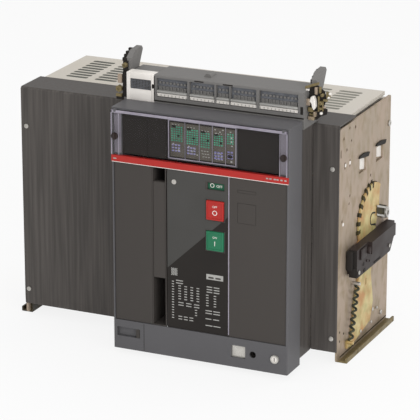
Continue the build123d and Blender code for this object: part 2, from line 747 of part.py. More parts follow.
# Moving contacts, shown open: arm, tip, pivot pin and insulating link
contact_turn = Plane(origin=(0, contact_pivot_y, contact_pivot_z), x_dir=(1, 0, 0),
                     z_dir=(0, -math.sin(math.radians(contact_angle)), math.cos(math.radians(contact_angle))))
arm_top = 128.0
with BuildPart() as contacts:
    for centre in pole_centres:
        with BuildSketch(contact_turn):
            with Locations((centre, 0)):
                Rectangle(44.0, 14.0)
        extrude(amount=arm_top)
        with BuildSketch(contact_turn.offset(110.0)):
            with Locations((centre, 10.2)):
                Rectangle(40.0, 6.6)
        extrude(amount=16.0)
        with BuildSketch(contact_turn.offset(66.0)):
            with Locations((centre, -24.0)):
                Rectangle(10.0, 40.0)
        extrude(amount=10.0)
        rod("x", centre - 22.0, centre + 22.0, contact_pivot_y, contact_pivot_z, 10.0)
        rod("x", centre - 30.0, centre + 30.0, contact_pivot_y, contact_pivot_z, 5.0)
save(contacts, "moving_contacts")

# Pole shaft with a forked lever for each pole
frame_left = -42.0
frame_right = 208.0
with BuildPart() as pole_shaft:
    rod("x", -carriage_half + carriage_t + 2.0, carriage_half - carriage_t - 2.0, shaft_y, shaft_z, shaft_r)
    for centre in pole_centres:
        for sign in (-1, 1):
            ends = sorted((centre + sign * 6.0, centre + sign * 10.0))
            block(ends[0], ends[1], shaft_y, shaft_y + 24.0, shaft_z - 6.0, shaft_z + 6.0)
save(pole_shaft, "pole_shaft")

# Current transformers round the lower bars
with BuildPart() as transformers:
    for centre in pole_centres:
        with BuildSketch(Plane.XZ.offset(-42.0)):
            with Locations((centre, lower_bar_z)):
                RectangleRounded(108.0, 80.0, 12.0)
                Rectangle(bar_width + 2 * seat_gap, bar_t + 2 * seat_gap, mode=Mode.SUBTRACT)
        extrude(amount=-34.0)
save(transformers, "current_transformers")

# Carriage sides, with rollers that run in the extension rails
roller_r = rail_groove / 2 - slide_gap
with BuildPart() as carriage:
    for sign in (-1, 1):
        ends = sorted((sign * carriage_half, sign * (carriage_half - carriage_t)))
        block(ends[0], ends[1], cover_back_face + 3.0, housing_back - 2.0, 24.0, housing_top - 5.0)
        rod("x", ends[0] - 1.0, ends[1] + 1.0, shaft_y, shaft_z, shaft_r + 2.0, Mode.SUBTRACT)
        ends = sorted((sign * carriage_half, sign * (rail_inside + 3.6)))
        for roller_y in (-70.0, 60.0):
            rod("x", ends[0], ends[1], roller_y, rail_mid, roller_r)
save(carriage, "carriage_sides")

# Mechanism frame: two steel sides on a floor, with the racking screw's bearing
frame_top = cover_top - 16.0
frame_back = housing_front - fit
bearing_half = 12.0
with BuildPart() as frame:
    block(frame_left, frame_right, frame_front, frame_back, strip_top + 2.0, strip_top + 5.0)
    for left in (frame_left, frame_right - 3.0):
        block(left, left + 3.0, frame_front, frame_back, strip_top + 2.0, frame_top)
    rod("x", frame_left - 1.0, frame_right + 1.0, shaft_y, shaft_z, shaft_r + pin_gap, Mode.SUBTRACT)
    rod("x", frame_left - 1.0, frame_right + 1.0, camshaft_y, camshaft_z, camshaft_r + pin_gap, Mode.SUBTRACT)
    block(handle_hole_x - bearing_half, handle_hole_x + bearing_half, -80.0, -70.0,
          handle_hole_z - bearing_half, strip_top + 5.0)
    rod("y", -81.0, -69.0, handle_hole_x, handle_hole_z, screw_r + pin_gap, Mode.SUBTRACT)
save(frame, "mechanism_frame")

# Camshaft with two cams and the ratchet wheel
ratchet_teeth = 18
ratchet_r = 22.0
with BuildPart() as camshaft:
    rod("x", frame_left - 4.0, frame_right + 4.0, camshaft_y, camshaft_z, camshaft_r)
    with BuildSketch(Plane.YZ.offset(8.0)):
        with Locations((camshaft_y, camshaft_z)):
            Circle(ratchet_r)
        for i in range(ratchet_teeth):
            angle = 2 * math.pi * i / ratchet_teeth
            with Locations((camshaft_y + ratchet_r * math.cos(angle), camshaft_z + ratchet_r * math.sin(angle))):
                Circle(1.8, mode=Mode.SUBTRACT)
    extrude(amount=8.0)
    for left in (70.0, 150.0):
        with BuildSketch(Plane.YZ.offset(left)):
            with Locations((camshaft_y, camshaft_z)):
                Circle(15.0)
            with Locations((camshaft_y + 6.0, camshaft_z)):
                Circle(15.0)
        extrude(amount=10.0)
save(camshaft, "camshaft")

# Closing springs on guide rods, standing on the frame's floor
with BuildPart() as closing_springs:
    for spring_centre in (30.0, 110.0):
        with BuildSketch(Plane.XY.offset(strip_top + 5.0)):
            with Locations((spring_centre, -112.0)):
                Circle(17.0)
                Circle(12.0, mode=Mode.SUBTRACT)
        extrude(amount=96.0)
save(closing_springs, "closing_springs")

# Charging motor and release coils on the frame
motor_low = frame_top - 76.0
with BuildPart() as motor:
    block(frame_right - 3.0 - fit - 66.0, frame_right - 3.0 - fit, -140.0, -78.0, motor_low, motor_low + 62.0)
    rod("x", 100.0, frame_right - 3.0 - fit - 66.0, -109.0, motor_low + 31.0, 26.0)
save(motor, "charging_motor")

with BuildPart() as coils:
    for step in range(3):
        left = frame_left + 3.0 + fit + step * 37.3
        block(left, left + 37.0, -138.0, -100.0, motor_low, motor_low + 46.0)
        rod("z", motor_low - 6.0, motor_low, left + 18.5, -119.0, 5.0)
save(coils, "release_coils")

# Terminal box: housing open at the top, with five recessed windows
window_edges = [(-14.0, 38.0), (42.0, 84.0), (87.0, 109.0), (111.0, 154.0), (159.0, 223.0)]
box_bottom = cover_top + 0.2
window_floor = 6.0
strip_low = 415.0
lid_t = 4.0
box_front_wall = 8.0
with BuildPart() as terminal_box:
    block(box_left, box_right, box_front, box_back, box_bottom, box_top - lid_t)
    block(box_left + box_wall, box_right - box_wall, box_front + box_front_wall, box_back - box_wall,
          box_bottom + box_wall, box_top - lid_t, Mode.SUBTRACT)
    for left, right in window_edges:
        block(left, right, box_front, box_front + window_floor, strip_low - 1.0, box_top - lid_t - 1.0,
              Mode.SUBTRACT)
save(terminal_box, "terminal_box")

with BuildPart() as box_lid:
    block(box_left, box_right, box_front, box_back, box_top - lid_t, box_top)
    fillet(box_lid.edges().filter_by(Axis.X).group_by(Axis.Z)[-1], 2.0)
    rod("y", -132.0, -112.0, 64.0, box_top - 1.0, 6.0)
    block(50.0, 80.0, -134.0, -110.0, box_top - lid_t - 8.0, box_top - lid_t, Mode.SUBTRACT)
save(box_lid, "terminal_box_lid")

with BuildPart() as box_strip:
    for left, right in window_edges:
        block(left + fit, right - fit, box_front + 1.0, box_front + window_floor - 0.1,
              strip_low, strip_low + 5.0)
save(box_strip, "terminal_strips")

with BuildPart() as white_module:
    block(box_left - module_width, box_left - fit, box_front - 2.0, box_back, box_bottom, module_top)
    fillet(white_module.edges().filter_by(Axis.X).group_by(Axis.Z)[-1], 2.0)
    block(box_left - module_width + 5.0, box_left - 6.0, box_front - 2.0, box_front,
          416.0, 438.0, Mode.SUBTRACT)
save(white_module, "white_terminal_module")

# Zinc brackets at both ends of the box, and the plastic guide tabs on them
module_left = box_left - module_width
ends_of_box = (("left", module_left - fit, -1, 16.0, 436.0), ("right", box_right + fit, 1, 24.0, 441.0))
bracket_front = -144.0
bracket_back = -104.0
tab_front = -131.0
with BuildPart() as brackets:
    for side, edge, sign, reach, high in ends_of_box:
        ends = sorted((edge, edge + sign * 1.8))
        block(ends[0], ends[1], bracket_front, bracket_back, box_bottom, high)
        ends = sorted((edge, edge + sign * reach))
        block(ends[0], ends[1], bracket_front, bracket_back, cover_top, cover_top + 2.0)
        block(ends[0], ends[1], bracket_back - 2.0, bracket_back, cover_top, high - 12.0)
        ends = sorted((edge, edge + sign * 7.0))
        block(ends[0], ends[1], -140.0, -132.0, cover_top, 420.0)
save(brackets, "end_brackets")

with BuildPart() as tabs:
    for side, edge, sign, reach, high in ends_of_box:
        near = edge + sign * 1.8
        ends = sorted((near, near + sign * tab_width))
        with BuildSketch(Plane.YZ.offset(ends[0])):
            with BuildLine():
                Polyline(
                    (tab_front, high - 14.0), (tab_front, tab_top - 12.0), (tab_front + 14.0, tab_top - 2.0),
                    (tab_front + tab_depth - 4.0, tab_top), (tab_front + tab_depth, tab_top - 5.0),
                    (tab_front + tab_depth - 10.0, tab_top - 24.0), (tab_front + 14.0, high - 14.0),
                    close=True)
            make_face()
        extrude(amount=tab_width)
save(tabs, "guide_tabs")
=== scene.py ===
"""Dresses the withdrawable air circuit breaker and its cradle for a studio picture."""

import math

import bpy
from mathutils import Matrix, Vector


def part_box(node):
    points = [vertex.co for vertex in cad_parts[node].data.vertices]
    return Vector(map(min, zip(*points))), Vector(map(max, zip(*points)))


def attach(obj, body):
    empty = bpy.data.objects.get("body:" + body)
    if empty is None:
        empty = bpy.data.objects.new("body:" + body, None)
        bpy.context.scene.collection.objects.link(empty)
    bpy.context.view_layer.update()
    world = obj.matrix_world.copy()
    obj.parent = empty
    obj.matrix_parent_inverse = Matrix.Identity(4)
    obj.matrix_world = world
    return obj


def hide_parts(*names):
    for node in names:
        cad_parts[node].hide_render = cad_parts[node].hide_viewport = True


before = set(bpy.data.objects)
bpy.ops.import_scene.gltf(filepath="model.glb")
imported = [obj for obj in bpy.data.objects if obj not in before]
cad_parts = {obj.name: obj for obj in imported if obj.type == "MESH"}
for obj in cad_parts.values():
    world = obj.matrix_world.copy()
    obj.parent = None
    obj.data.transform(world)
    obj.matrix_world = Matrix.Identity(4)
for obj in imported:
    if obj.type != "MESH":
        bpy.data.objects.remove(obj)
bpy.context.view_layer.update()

bl_info = {
    "name": "Air Circuit Breaker Dressing",
    "version": (1, 0, 0),
    "blender": (4, 5, 0),
    "location": "3D View > Sidebar > Breaker",
    "description": "Adds the small parts and the finishes of a withdrawable air circuit breaker",
    "category": "Object",
}

MM = 0.001
CAPITAL_TO_SIZE = 1.38  # a capital's height times this is the text's size
LETTER_DEPTH = 0.12  # how far raised letters are extruded to either side, in millimetres
WORLD_LIGHT = 0.62  # strength of the light from all round
FLOOR_WHITE = 0.86  # share of plain white in the floor that the camera sees


def linear(code):
    """Turn a web colour such as 45413E into the linear colour that shaders use."""
    parts = [int(code[i:i + 2], 16) / 255 for i in (0, 2, 4)]
    return tuple(p / 12.92 if p <= 0.04045 else ((p + 0.055) / 1.055) ** 2.4 for p in parts)


def colour_property(name, description, code):
    """A colour that the user can change in the sidebar."""
    return bpy.props.FloatVectorProperty(name=name, description=description, subtype="COLOR",
                                         size=3, min=0.0, max=1.0, default=linear(code))


class BreakerColours(bpy.types.PropertyGroup):
    """Colours of the breaker's finishes."""

    shield: colour_property("Front shield", "Moulded grey of the deep front frame", "5B5A5C")
    panel: colour_property("Front panels", "Dark grey of the flat front panels", "423E3B")
    sheet: colour_property("Side covers", "Powder coat of the sheet steel covers", "4C4845")
    zinc: colour_property("Zinc plate", "Zinc-plated steel of the cradle", "A79785")
    yellow: colour_property("Yellow zinc", "Yellow-passivated levers and brackets", "CDBE85")
    ivory: colour_property("Arc chutes", "Ivory moulding of chutes and wall", "CBC5BB")
    box: colour_property("Terminal box", "Grey of the control wiring box", "747270")
    black: colour_property("Black plastic", "Contact box and housings", "2E2624")
    red: colour_property("Red", "Open button and band", "AE2721")
    green: colour_property("Green", "Close button", "227250")
    copper: colour_property("Copper", "Bars and contacts", "C98B66")


class BreakerSizes(bpy.types.PropertyGroup):
    """Sizes of the added details, in metres."""

    edge: bpy.props.FloatProperty(name="Edge radius", description="Rounding of moulded edges",
                                  default=0.8 * MM, min=0.0, unit="LENGTH")
    sticker: bpy.props.FloatProperty(name="Label thickness", description="How far labels stand up",
                                     default=0.25 * MM, min=0.0, unit="LENGTH")
    coil_wire: bpy.props.FloatProperty(name="Spring wire", description="Radius of the spring's wire",
                                       default=2.2 * MM, min=0.0, unit="LENGTH")
    lamp_power: bpy.props.FloatProperty(name="Key lamp", description="Power of the main lamp",
                                        default=24.0, min=0.0, unit="POWER")


def colours():
    """The colours set in the sidebar."""
    return bpy.context.scene.breaker_colours


def sizes():
    """The sizes set in the sidebar."""
    return bpy.context.scene.breaker_sizes


def box_of(node):
    """The lowest and the highest corner of a CAD node, in millimetres."""
    return [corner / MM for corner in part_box(node)]


# Modelling helpers

def begin():
    """Leave edit mode and deselect everything, so an operator acts on the next piece only."""
    if bpy.context.mode != "OBJECT":
        bpy.ops.object.mode_set(mode="OBJECT")
    bpy.ops.object.select_all(action="DESELECT")


def settle():
    """Put the new piece's place, turn and size into its mesh."""
    bpy.ops.object.transform_apply(location=True, rotation=True, scale=True)
    return bpy.context.active_object


def edit_all():
    """Enter edit mode with the whole piece selected."""
    bpy.ops.object.mode_set(mode="EDIT")
    bpy.ops.mesh.select_mode(type="FACE")
    bpy.ops.mesh.select_all(action="SELECT")


def edit_faces(obj, wanted):
    """Enter edit mode with the faces selected whose centre and normal pass the test."""
    mesh = obj.data
    mesh.vertices.foreach_set("select", [False] * len(mesh.vertices))
    mesh.edges.foreach_set("select", [False] * len(mesh.edges))
    for face in mesh.polygons:
        face.select = bool(wanted(face.center, face.normal))
    bpy.ops.object.mode_set(mode="EDIT")
    bpy.ops.mesh.select_mode(type="FACE")


def leave_edit():
    """Go back to object mode."""
    bpy.ops.object.mode_set(mode="OBJECT")


def slab(low, high, edge=None, segments=2):
    """A block between two corners, in millimetres, with rounded edges."""
    begin()
    size = [(b - a) * MM for a, b in zip(low, high)]
    middle = [(a + b) / 2 * MM for a, b in zip(low, high)]
    bpy.ops.mesh.primitive_cube_add(size=1, location=middle, scale=size)
    obj = settle()
    radius = min(sizes().edge if edge is None else edge * MM, min(size) * 0.45)
    edit_all()
    bpy.ops.mesh.bevel(offset=radius, segments=segments, affect="EDGES")
    leave_edit()
    return obj


def disc(centre, axis, radius, length, edge=0.4, sides=32):
    """A round head or boss, in millimetres, centred on a point, with a rounded rim."""
    begin()
    turn = {"x": (0, math.pi / 2, 0), "y": (math.pi / 2, 0, 0), "z": (0, 0, 0)}[axis]
    bpy.ops.mesh.primitive_cylinder_add(vertices=sides, radius=radius * MM, depth=length * MM,
                                        location=[c * MM for c in centre], rotation=turn)
    obj = settle()
    along = "xyz".index(axis)
    edit_faces(obj, lambda centre, normal: abs(normal[along]) > 0.9)
    bpy.ops.mesh.bevel(offset=edge * MM, segments=2, affect="EDGES")
    leave_edit()
    return obj


def slabs(edge, segments, *corners):
    """Blocks with the same rounding, each given by its two corners."""
    return [slab(low, high, edge, segments) for low, high in corners]


def outline_plate(points, plane, at, thickness, edge=0.3):
    """A flat plate from an outline in millimetres in the plane xz or yz, growing along the third axis."""
    begin()
    bpy.ops.mesh.primitive_circle_add(vertices=len(points), radius=1.0, fill_type="NGON")
    obj = bpy.context.active_object
    for vertex, (u, v) in zip(obj.data.vertices, points):
        vertex.co = Vector((u, at, v) if plane == "xz" else (at, u, v)) * MM
    grow = {"xz": (0, thickness * MM, 0), "yz": (thickness * MM, 0, 0)}[plane]
    edit_all()
    bpy.ops.mesh.extrude_region_move(TRANSFORM_OT_translate={"value": grow})
    bpy.ops.mesh.select_all(action="SELECT")
    bpy.ops.mesh.normals_make_consistent(inside=False)
    if edge:
        bpy.ops.mesh.bevel(offset=edge * MM, segments=1, affect="EDGES")
    leave_edit()
    return obj


def socket(obj, axis, sign, inset, depth):
    """Sink the face that looks along an axis: an inset rim and a floor pushed in."""
    along = "xyz".index(axis)
    areas = [(f.area, f.index) for f in obj.data.polygons if f.normal[along] * sign > 0.95]
    biggest = max(areas)[1]
    chosen = obj.data.polygons[biggest].center.copy()
    edit_faces(obj, lambda centre, normal: (centre - chosen).length < 1e-6)
    bpy.ops.mesh.inset(thickness=inset * MM)
    push = [0.0, 0.0, 0.0]
    push[along] = -sign * depth * MM
    bpy.ops.mesh.extrude_region_move(TRANSFORM_OT_translate={"value": push})
    leave_edit()
    return obj


def smooth(obj, degrees=35):
    """Shade round faces smooth and keep sharp corners."""
    begin()
    obj.select_set(True)
    bpy.context.view_layer.objects.active = obj
    bpy.ops.object.shade_smooth_by_angle(angle=math.radians(degrees))
    return obj


def join(name, pieces):
    """Make one piece out of several."""
    begin()
    for piece in pieces:
        piece.select_set(True)
    bpy.context.view_layer.objects.active = pieces[0]
    if len(pieces) > 1:
        bpy.ops.object.join()
    obj = bpy.context.active_object
    obj.name = obj.data.name = name
    return obj


def rows(obj, count, step, second=1, second_step=(0, 0, 0)):
    """Repeat a piece in a row, or in rows, with the steps in millimetres."""
    begin()
    obj.select_set(True)
    bpy.context.view_layer.objects.active = obj
    for number, move in ((count, step), (second, second_step)):
        if number > 1:
            array = obj.modifiers.new("Row", "ARRAY")
            array.use_relative_offset = False
            array.use_constant_offset = True
            array.constant_offset_displace = [m * MM for m in move]
            array.count = number
            bpy.ops.object.modifier_apply(modifier=array.name)
    return obj


def lettering(text, centre, height, front):
    """Raised characters on a front face, readable from the front."""
    begin()
    bpy.ops.object.text_add(location=(centre[0] * MM, front * MM, centre[1] * MM),
                            rotation=(math.pi / 2, 0, 0))
    obj = bpy.context.active_object
    obj.data.body = text
    obj.data.size = height * MM * CAPITAL_TO_SIZE
    obj.data.align_x = obj.data.align_y = "CENTER"
    obj.data.extrude = LETTER_DEPTH * MM
    bpy.ops.object.convert(target="MESH")
    return settle()


def place(name, pieces, body, finish_name, slot_name, *replaced):
    """Join the pieces, and give them their finish, their body and the CAD nodes they stand for."""
    obj = smooth(join(name, pieces))
    obj.data.materials.clear()
    obj.data.materials.append(finish(finish_name))
    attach(obj, body)
    if replaced:
        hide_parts(*replaced)


# Finishes. Each has its colour, its worn colour, and what differs from the defaults of surface().
# A colour is a web code, or the name of a sidebar colour, alone or with how much lighter or darker it gets.

AGED = dict(amount=0.8, cloud=60, grain=800, rough=(0.4, 0.6), metallic=0.4, tint="4A4230", tint_size=60)
GLOSSY = dict(amount=0.3, cloud=30, rough=(0.3, 0.42), coat=0.2)

FINISHES = {
    # Moulded grey of the front frame
    "shield_grey": ("shield", ("shield", 1.25), dict(amount=0.3, cloud=9, grain=1400, rough=(0.42, 0.55))),
    # Textured dark grey of the front panels
    "panel_grey": ("panel", ("panel", 1.35), dict(cloud=7, grain=1600, bump=0.1, stretch=(1, 1, 0.25))),
    # Powder coat with faint vertical streaks
    "sheet_coat": (("sheet", 0.88), ("sheet", 1.45), dict(amount=0.9, cloud=230, rough=(0.38, 0.55),
                                                          bump=0.12,
                                                          stretch=(1, 1, 0.03))),
    # Zinc plate with brown and pale mottling
    "zinc_plate": ("zinc", "B9A797", dict(amount=0.9, cloud=24, grain=700, rough=(0.4, 0.6), metallic=0.5,
                                          bump=0.05,
                                          stretch=(1, 1, 0.55), tint="86764F", tint_size=62,
                                          tint_share=0.55)),
    # Yellow passivation with orange and olive clouds
    "passivated_zinc": ("yellow", "BE8D5C", dict(amount=0.95, cloud=42, grain=800, rough=(0.34, 0.5),
                                                 metallic=0.35,
                                                 tint="A39B5E", tint_size=55)),
    # Dull olive brown passivation of the brackets and of the foot rails
    "aged_zinc": ("7B6E4F", "A08F66", AGED),
    "foot_zinc": ("7B6E4F", "A08F66", AGED),
    # Bright plated steel
    "plated_steel": ("C6C3BD", "9A968F", dict(amount=0.5, cloud=40, grain=1200, rough=(0.25, 0.42),
                                              metallic=0.65,
                                              bump=0.04)),
    # Darkened spring wire
    "spring_wire": ("33372F", "5F5D48",
                    dict(amount=0.7, cloud=60, grain=1200, rough=(0.5, 0.65), metallic=0.1)),
    # Ivory glass-filled moulding
    "ivory_moulding": ("ivory", "C9C2B5",
                       dict(amount=0.45, cloud=12, grain=1300, rough=(0.5, 0.65), bump=0.08)),
    # Grey of the control wiring box, also the painted highlight on the pull slot's lip
    "box_grey": ("box", ("box", 1.2), dict(cloud=18, rough=(0.5, 0.62))),
    "black_moulding": ("black", ("black", 1.7), dict(amount=0.4, cloud=20, grain=1400, rough=(0.4, 0.55))),
    # White plastic, also painted highlights on the cover knobs' centres and the lock's face
    "white_moulding": ("ECE7E1", "D6D0C8", dict(amount=0.4, cloud=22, rough=(0.35, 0.5))),
    "red_moulding": ("red", ("red", 0.8), GLOSSY),
    "green_moulding": ("green", ("green", 0.75), GLOSSY),
    # Deep green of the contacts' flag
    "flag_green": ("205C43", "1A4A37", dict(amount=0.4, cloud=40, rough=(0.35, 0.5))),
    # Copper bars with a dull skin
    "copper_bar": ("copper", ("copper", 0.6), dict(amount=0.5, cloud=26, grain=900, rough=(0.25, 0.45),
                                                   metallic=0.9)),
    # Black of print and of black parts, also painted shade in recesses, slots, gaps and holes
    "printed_black": ("2A2725", "34312E", dict(cloud=16, rough=(0.5, 0.65), sheen=0.12)),
    # Lighter grey print of the nameplate
    "nameplate_grey": ("484745", "3F3E3B", dict(amount=0.45, cloud=10, rough=(0.42, 0.55))),
    # Pale grey print of labels and lines
    "pale_print": ("A9A8A4", "8E8C88", dict(amount=0.4, cloud=60, grain=2000)),
    # Warm dark grey of the trip unit's setting fields, and its two kinds of switches
    "setting_field": ("5C5750", "46413B", dict(amount=0.5, cloud=60, grain=1800, rough=(0.4, 0.55))),
    "teal_key": ("43AE8D", "24705A", dict(amount=0.8, cloud=90, grain=2000, rough=(0.35, 0.5))),
    "violet_key": ("8785BC", "64628F", dict(amount=0.5, cloud=90, grain=2000, rough=(0.35, 0.5))),
    # Strips inside the chutes' slots: shaded ones, and those nearer to the lamp
    "vent_grey": ("4E5049", "6A6B62", dict(amount=0.6, cloud=50, rough=(0.5, 0.65))),
    "vent_pale": ("86847A", "74736A", dict(amount=0.6, cloud=50, rough=(0.5, 0.65))),
    # Lit violet grey of the shield's posts behind the clear cover
    "post_grey": ("88838B", "6E6A72", dict(amount=0.6, cloud=30, rough=(0.4, 0.55), stretch=(1, 1, 0.3))),
    # Grey of the wiring box's insides
    "window_grey": ("63656A", "7C7E84", dict(amount=0.7, cloud=90)),
    # Dark olive of painted shade in gaps beside the zinc parts, also of three small dark spots on the side
    # plate
    "olive_black": ("2F2B1D", "544C30", dict(amount=0.6, cloud=80, rough=(0.5, 0.65), sheen=0.12)),
    # Pale violet grey of the cover's lit edges
    "edge_violet": ("A29CA8", "7C7784", dict(amount=0.5, cloud=40, grain=2000, rough=(0.3, 0.45))),
}


def tone(value):
    """The linear colour that an entry of the table stands for."""
    name, factor = (value, 1.0) if isinstance(value, str) else value
    if name in BreakerColours.__annotations__:
        return tuple(max(0.0, min(1.0, part * factor)) for part in getattr(colours(), name))
    return linear(name)


def add_node(tree, kind, at, **values):
    """A shader node at its place in the editor, with values for its inputs or its settings."""
    node = tree.nodes.new("ShaderNode" + kind)
    node.location = at
    for label, value in values.items():
        entry = node.inputs.get(label.replace("_", " ").title())
        if entry:
            entry.default_value = value
        else:
            setattr(node, label, value)
    return node


def connect(tree, *wires):
    """Link nodes, each wire given as a node, its output, the next node and its input."""
    for source, output, target, entry in wires:
        tree.links.new(source.outputs[output], target.inputs[entry])


def wear_group():
    """Cloudy wear, blotches of a second tint and fine grain, shared by every finish."""
    group = bpy.data.node_groups.get("Handling wear")
    if group:
        return group
    group = bpy.data.node_groups.new("Handling wear", "ShaderNodeTree")
    for kind, label, value in (
            ("Vector", "Place", None), ("Color", "Colour", (0.5, 0.5, 0.5, 1)),
            ("Color", "Worn", (0.6, 0.6, 0.6, 1)), ("Float", "Amount", 0.3), ("Float", "Cloud size", 14.0),
            ("Float", "Grain size", 900.0), ("Float", "Smooth", 0.4), ("Float", "Rough", 0.6),
            ("Color", "Tint", (0.5, 0.5, 0.5, 1)), ("Float", "Tint share", 0.0),
            ("Float", "Tint size", 24.0)):
        item = group.interface.new_socket(label, in_out="INPUT", socket_type="NodeSocket" + kind)
        if value is not None:
            item.default_value = value
    for kind, label in (("Color", "Colour"), ("Float", "Roughness"), ("Float", "Height")):
        group.interface.new_socket(label, in_out="OUTPUT", socket_type="NodeSocket" + kind)
    start, end = group.nodes.new("NodeGroupInput"), group.nodes.new("NodeGroupOutput")
    start.location, end.location = (-900, 0), (700, 0)
    cloud = add_node(group, "TexNoise", (-600, 200), detail=5.0)
    grain = add_node(group, "TexNoise", (-600, -200), detail=2.0)
    blotch = add_node(group, "TexNoise", (-600, 500), detail=3.0, distortion=0.2)
    spread = add_node(group, "MapRange", (-350, 200), from_min=0.38, from_max=0.68)
    patch = add_node(group, "MapRange", (-350, 500), from_min=0.46, from_max=0.72)
    share = add_node(group, "Math", (-150, 200), operation="MULTIPLY")
    dose = add_node(group, "Math", (-150, 500), operation="MULTIPLY")
    mix = add_node(group, "Mix", (100, 200), data_type="RGBA")
    rough = add_node(group, "MapRange", (100, -50))
    tinted = add_node(group, "Mix", (350, 300), data_type="RGBA")
    connect(group, (start, "Place", cloud, "Vector"), (start, "Cloud size", cloud, "Scale"),
            (start, "Place", grain, "Vector"), (start, "Grain size", grain, "Scale"),
            (start, "Place", blotch, "Vector"), (start, "Tint size", blotch, "Scale"),
            (cloud, "Fac", spread, "Value"), (spread, "Result", share, 0), (start, "Amount", share, 1),
            (blotch, "Fac", patch, "Value"), (patch, "Result", dose, 0), (start, "Tint share", dose, 1),
            (share, 0, mix, "Factor"), (start, "Colour", mix, "A"), (start, "Worn", mix, "B"),
            (dose, 0, tinted, "Factor"), (mix, "Result", tinted, "A"), (start, "Tint", tinted, "B"),
            (spread, "Result", rough, "Value"), (start, "Smooth", rough, "To Min"),
            (start, "Rough", rough, "To Max"), (tinted, "Result", end, "Colour"),
            (rough, "Result", end, "Roughness"), (grain, "Fac", end, "Height"))
    return group


def surface(name, colour, worn, amount=0.35, cloud=14.0, grain=1500.0, rough=(0.45, 0.6), metallic=0.0,
            bump=0.06,
            stretch=(1, 1, 1), coat=0.0, sheen=0.22, tint=None, tint_size=24.0, tint_share=0.75):
    """A material with its own colour, wear, sheen and grain."""
    material = bpy.data.materials.new(name)
    material.use_nodes = True
    tree = material.node_tree
    shader = tree.nodes["Principled BSDF"]
    where = add_node(tree, "TexCoord", (-1000, 0), name="Where")
    mapping = add_node(tree, "Mapping", (-800, 0), scale=stretch)
    wear = add_node(tree, "Group", (-550, 0), node_tree=wear_group(), name="Wear")
    ridge = add_node(tree, "Bump", (-250, -250), strength=bump, distance=0.2 * MM)
    values = {"Colour": (*tone(colour), 1), "Worn": (*tone(worn), 1), "Amount": amount, "Cloud size": cloud,
              "Grain size": grain, "Smooth": rough[0], "Rough": rough[1]}
    if tint:
        values.update({"Tint": (*tone(tint), 1), "Tint share": tint_share, "Tint size": tint_size})
    for label, value in values.items():
        wear.inputs[label].default_value = value
    for label, value in (("Metallic", metallic), ("Coat Weight", coat), ("Specular IOR Level", sheen)):
        shader.inputs[label].default_value = value
    connect(tree, (where, "Object", mapping, "Vector"), (mapping, "Vector", wear, "Place"),
            (wear, "Colour", shader, "Base Color"), (wear, "Roughness", shader, "Roughness"),
            (wear, "Height", ridge, "Height"), (ridge, "Normal", shader, "Normal"))
    return material


def shade_left_rail(material):
    """Painted shade: make the finish dark on the left foot rail, where x is negative."""
    tree = material.node_tree
    wear = tree.nodes["Wear"]
    axes = add_node(tree, "SeparateXYZ", (-1200, 300))
    left = add_node(tree, "Math", (-1000, 300), operation="LESS_THAN")
    left.inputs[1].default_value = 0.0
    connect(tree, (tree.nodes["Where"], "Object", axes, 0), (axes, "X", left, 0))
    for label, dark in (("Colour", "2B261E"), ("Worn", "4A4433")):
        mix = add_node(tree, "Mix", (-800, 300), data_type="RGBA")
        mix.inputs["A"].default_value = wear.inputs[label].default_value
        mix.inputs["B"].default_value = (*linear(dark), 1)
        connect(tree, (left, 0, mix, "Factor"), (mix, "Result", wear, label))


def clear_sheet():
    """Clear polycarbonate with faint smears."""
    material = bpy.data.materials.new("clear_sheet")
    material.use_nodes = True
    tree = material.node_tree
    shader = tree.nodes["Principled BSDF"]
    for label, value in (("Base Color", (*linear("3C3A3E"), 1)), ("Alpha", 0.04),
                         ("Specular IOR Level", 0.12)):
        shader.inputs[label].default_value = value
    where = add_node(tree, "TexCoord", (-900, 0))
    smear = add_node(tree, "TexNoise", (-700, 0), scale=30.0, detail=4.0)
    spread = add_node(tree, "MapRange", (-400, 0), to_min=0.05, to_max=0.22)
    connect(tree, (where, "Object", smear, "Vector"), (smear, "Fac", spread, "Value"),
            (spread, "Result", shader, "Roughness"))
    return material


def finish(name):
    """A material by its name, made when a piece first asks for it."""
    material = bpy.data.materials.get(name)
    if material:
        return material
    if name == "clear_sheet":
        return clear_sheet()
    colour, worn, values = FINISHES[name]
    material = surface(name, colour, worn, **values)
    # The left foot rail gets painted shade.
    if name == "foot_zinc":
        shade_left_rail(material)
    return material


CAD_FINISHES = {
    "zinc_plate": ("side_plate_left", "side_plate_right", "base_pan", "rail_runners", "extension_rails"),
    "passivated_zinc": ("shutter_lever",),
    "aged_zinc": ("end_brackets",),
    "foot_zinc": ("foot_rails",),
    "plated_steel": ("cradle_fasteners", "side_spring", "panel_screws", "splitter_plates", "lock_barrel",
                     "racking_shutter", "camshaft", "pole_shaft", "closing_springs", "mechanism_frame",
                     "carriage_sides"),
    "sheet_coat": ("side_cover_left", "side_cover_right", "mechanism_hood"),
    "shield_grey": ("front_shield", "trip_unit"),
    "panel_grey": ("front_panels", "nameplate_panel", "lever_housing", "charging_lever", "position_pointer"),
    # The racking screw is black as painted shade inside its hole in the strip.
    "printed_black": ("blank_modules", "racking_screw"),
    "box_grey": ("terminal_box", "terminal_box_lid", "guide_tabs"),
    "black_moulding": ("contact_box", "cover_knob_left", "cover_knob_right", "charging_motor",
                       "release_coils",
                       "pole_housing", "current_transformers"),
    "ivory_moulding": ("rear_wall", "arc_chute_1", "arc_chute_2", "arc_chute_3", "arc_chute_4",
                       "safety_shutter_upper", "safety_shutter_lower"),
    "white_moulding": ("white_terminal_module", "terminal_strips"),
    "red_moulding": ("red_band", "open_button"),
    "green_moulding": ("close_button", "state_flag"),
    "copper_bar": ("cradle_terminals", "jaw_clusters", "breaker_terminals_upper", "breaker_terminals_lower",
                   "moving_contacts"),
    "clear_sheet": ("transparent_cover",),
}


# Steps

class Step:
    """What every step has in common."""

    bl_options = {"REGISTER", "UNDO"}


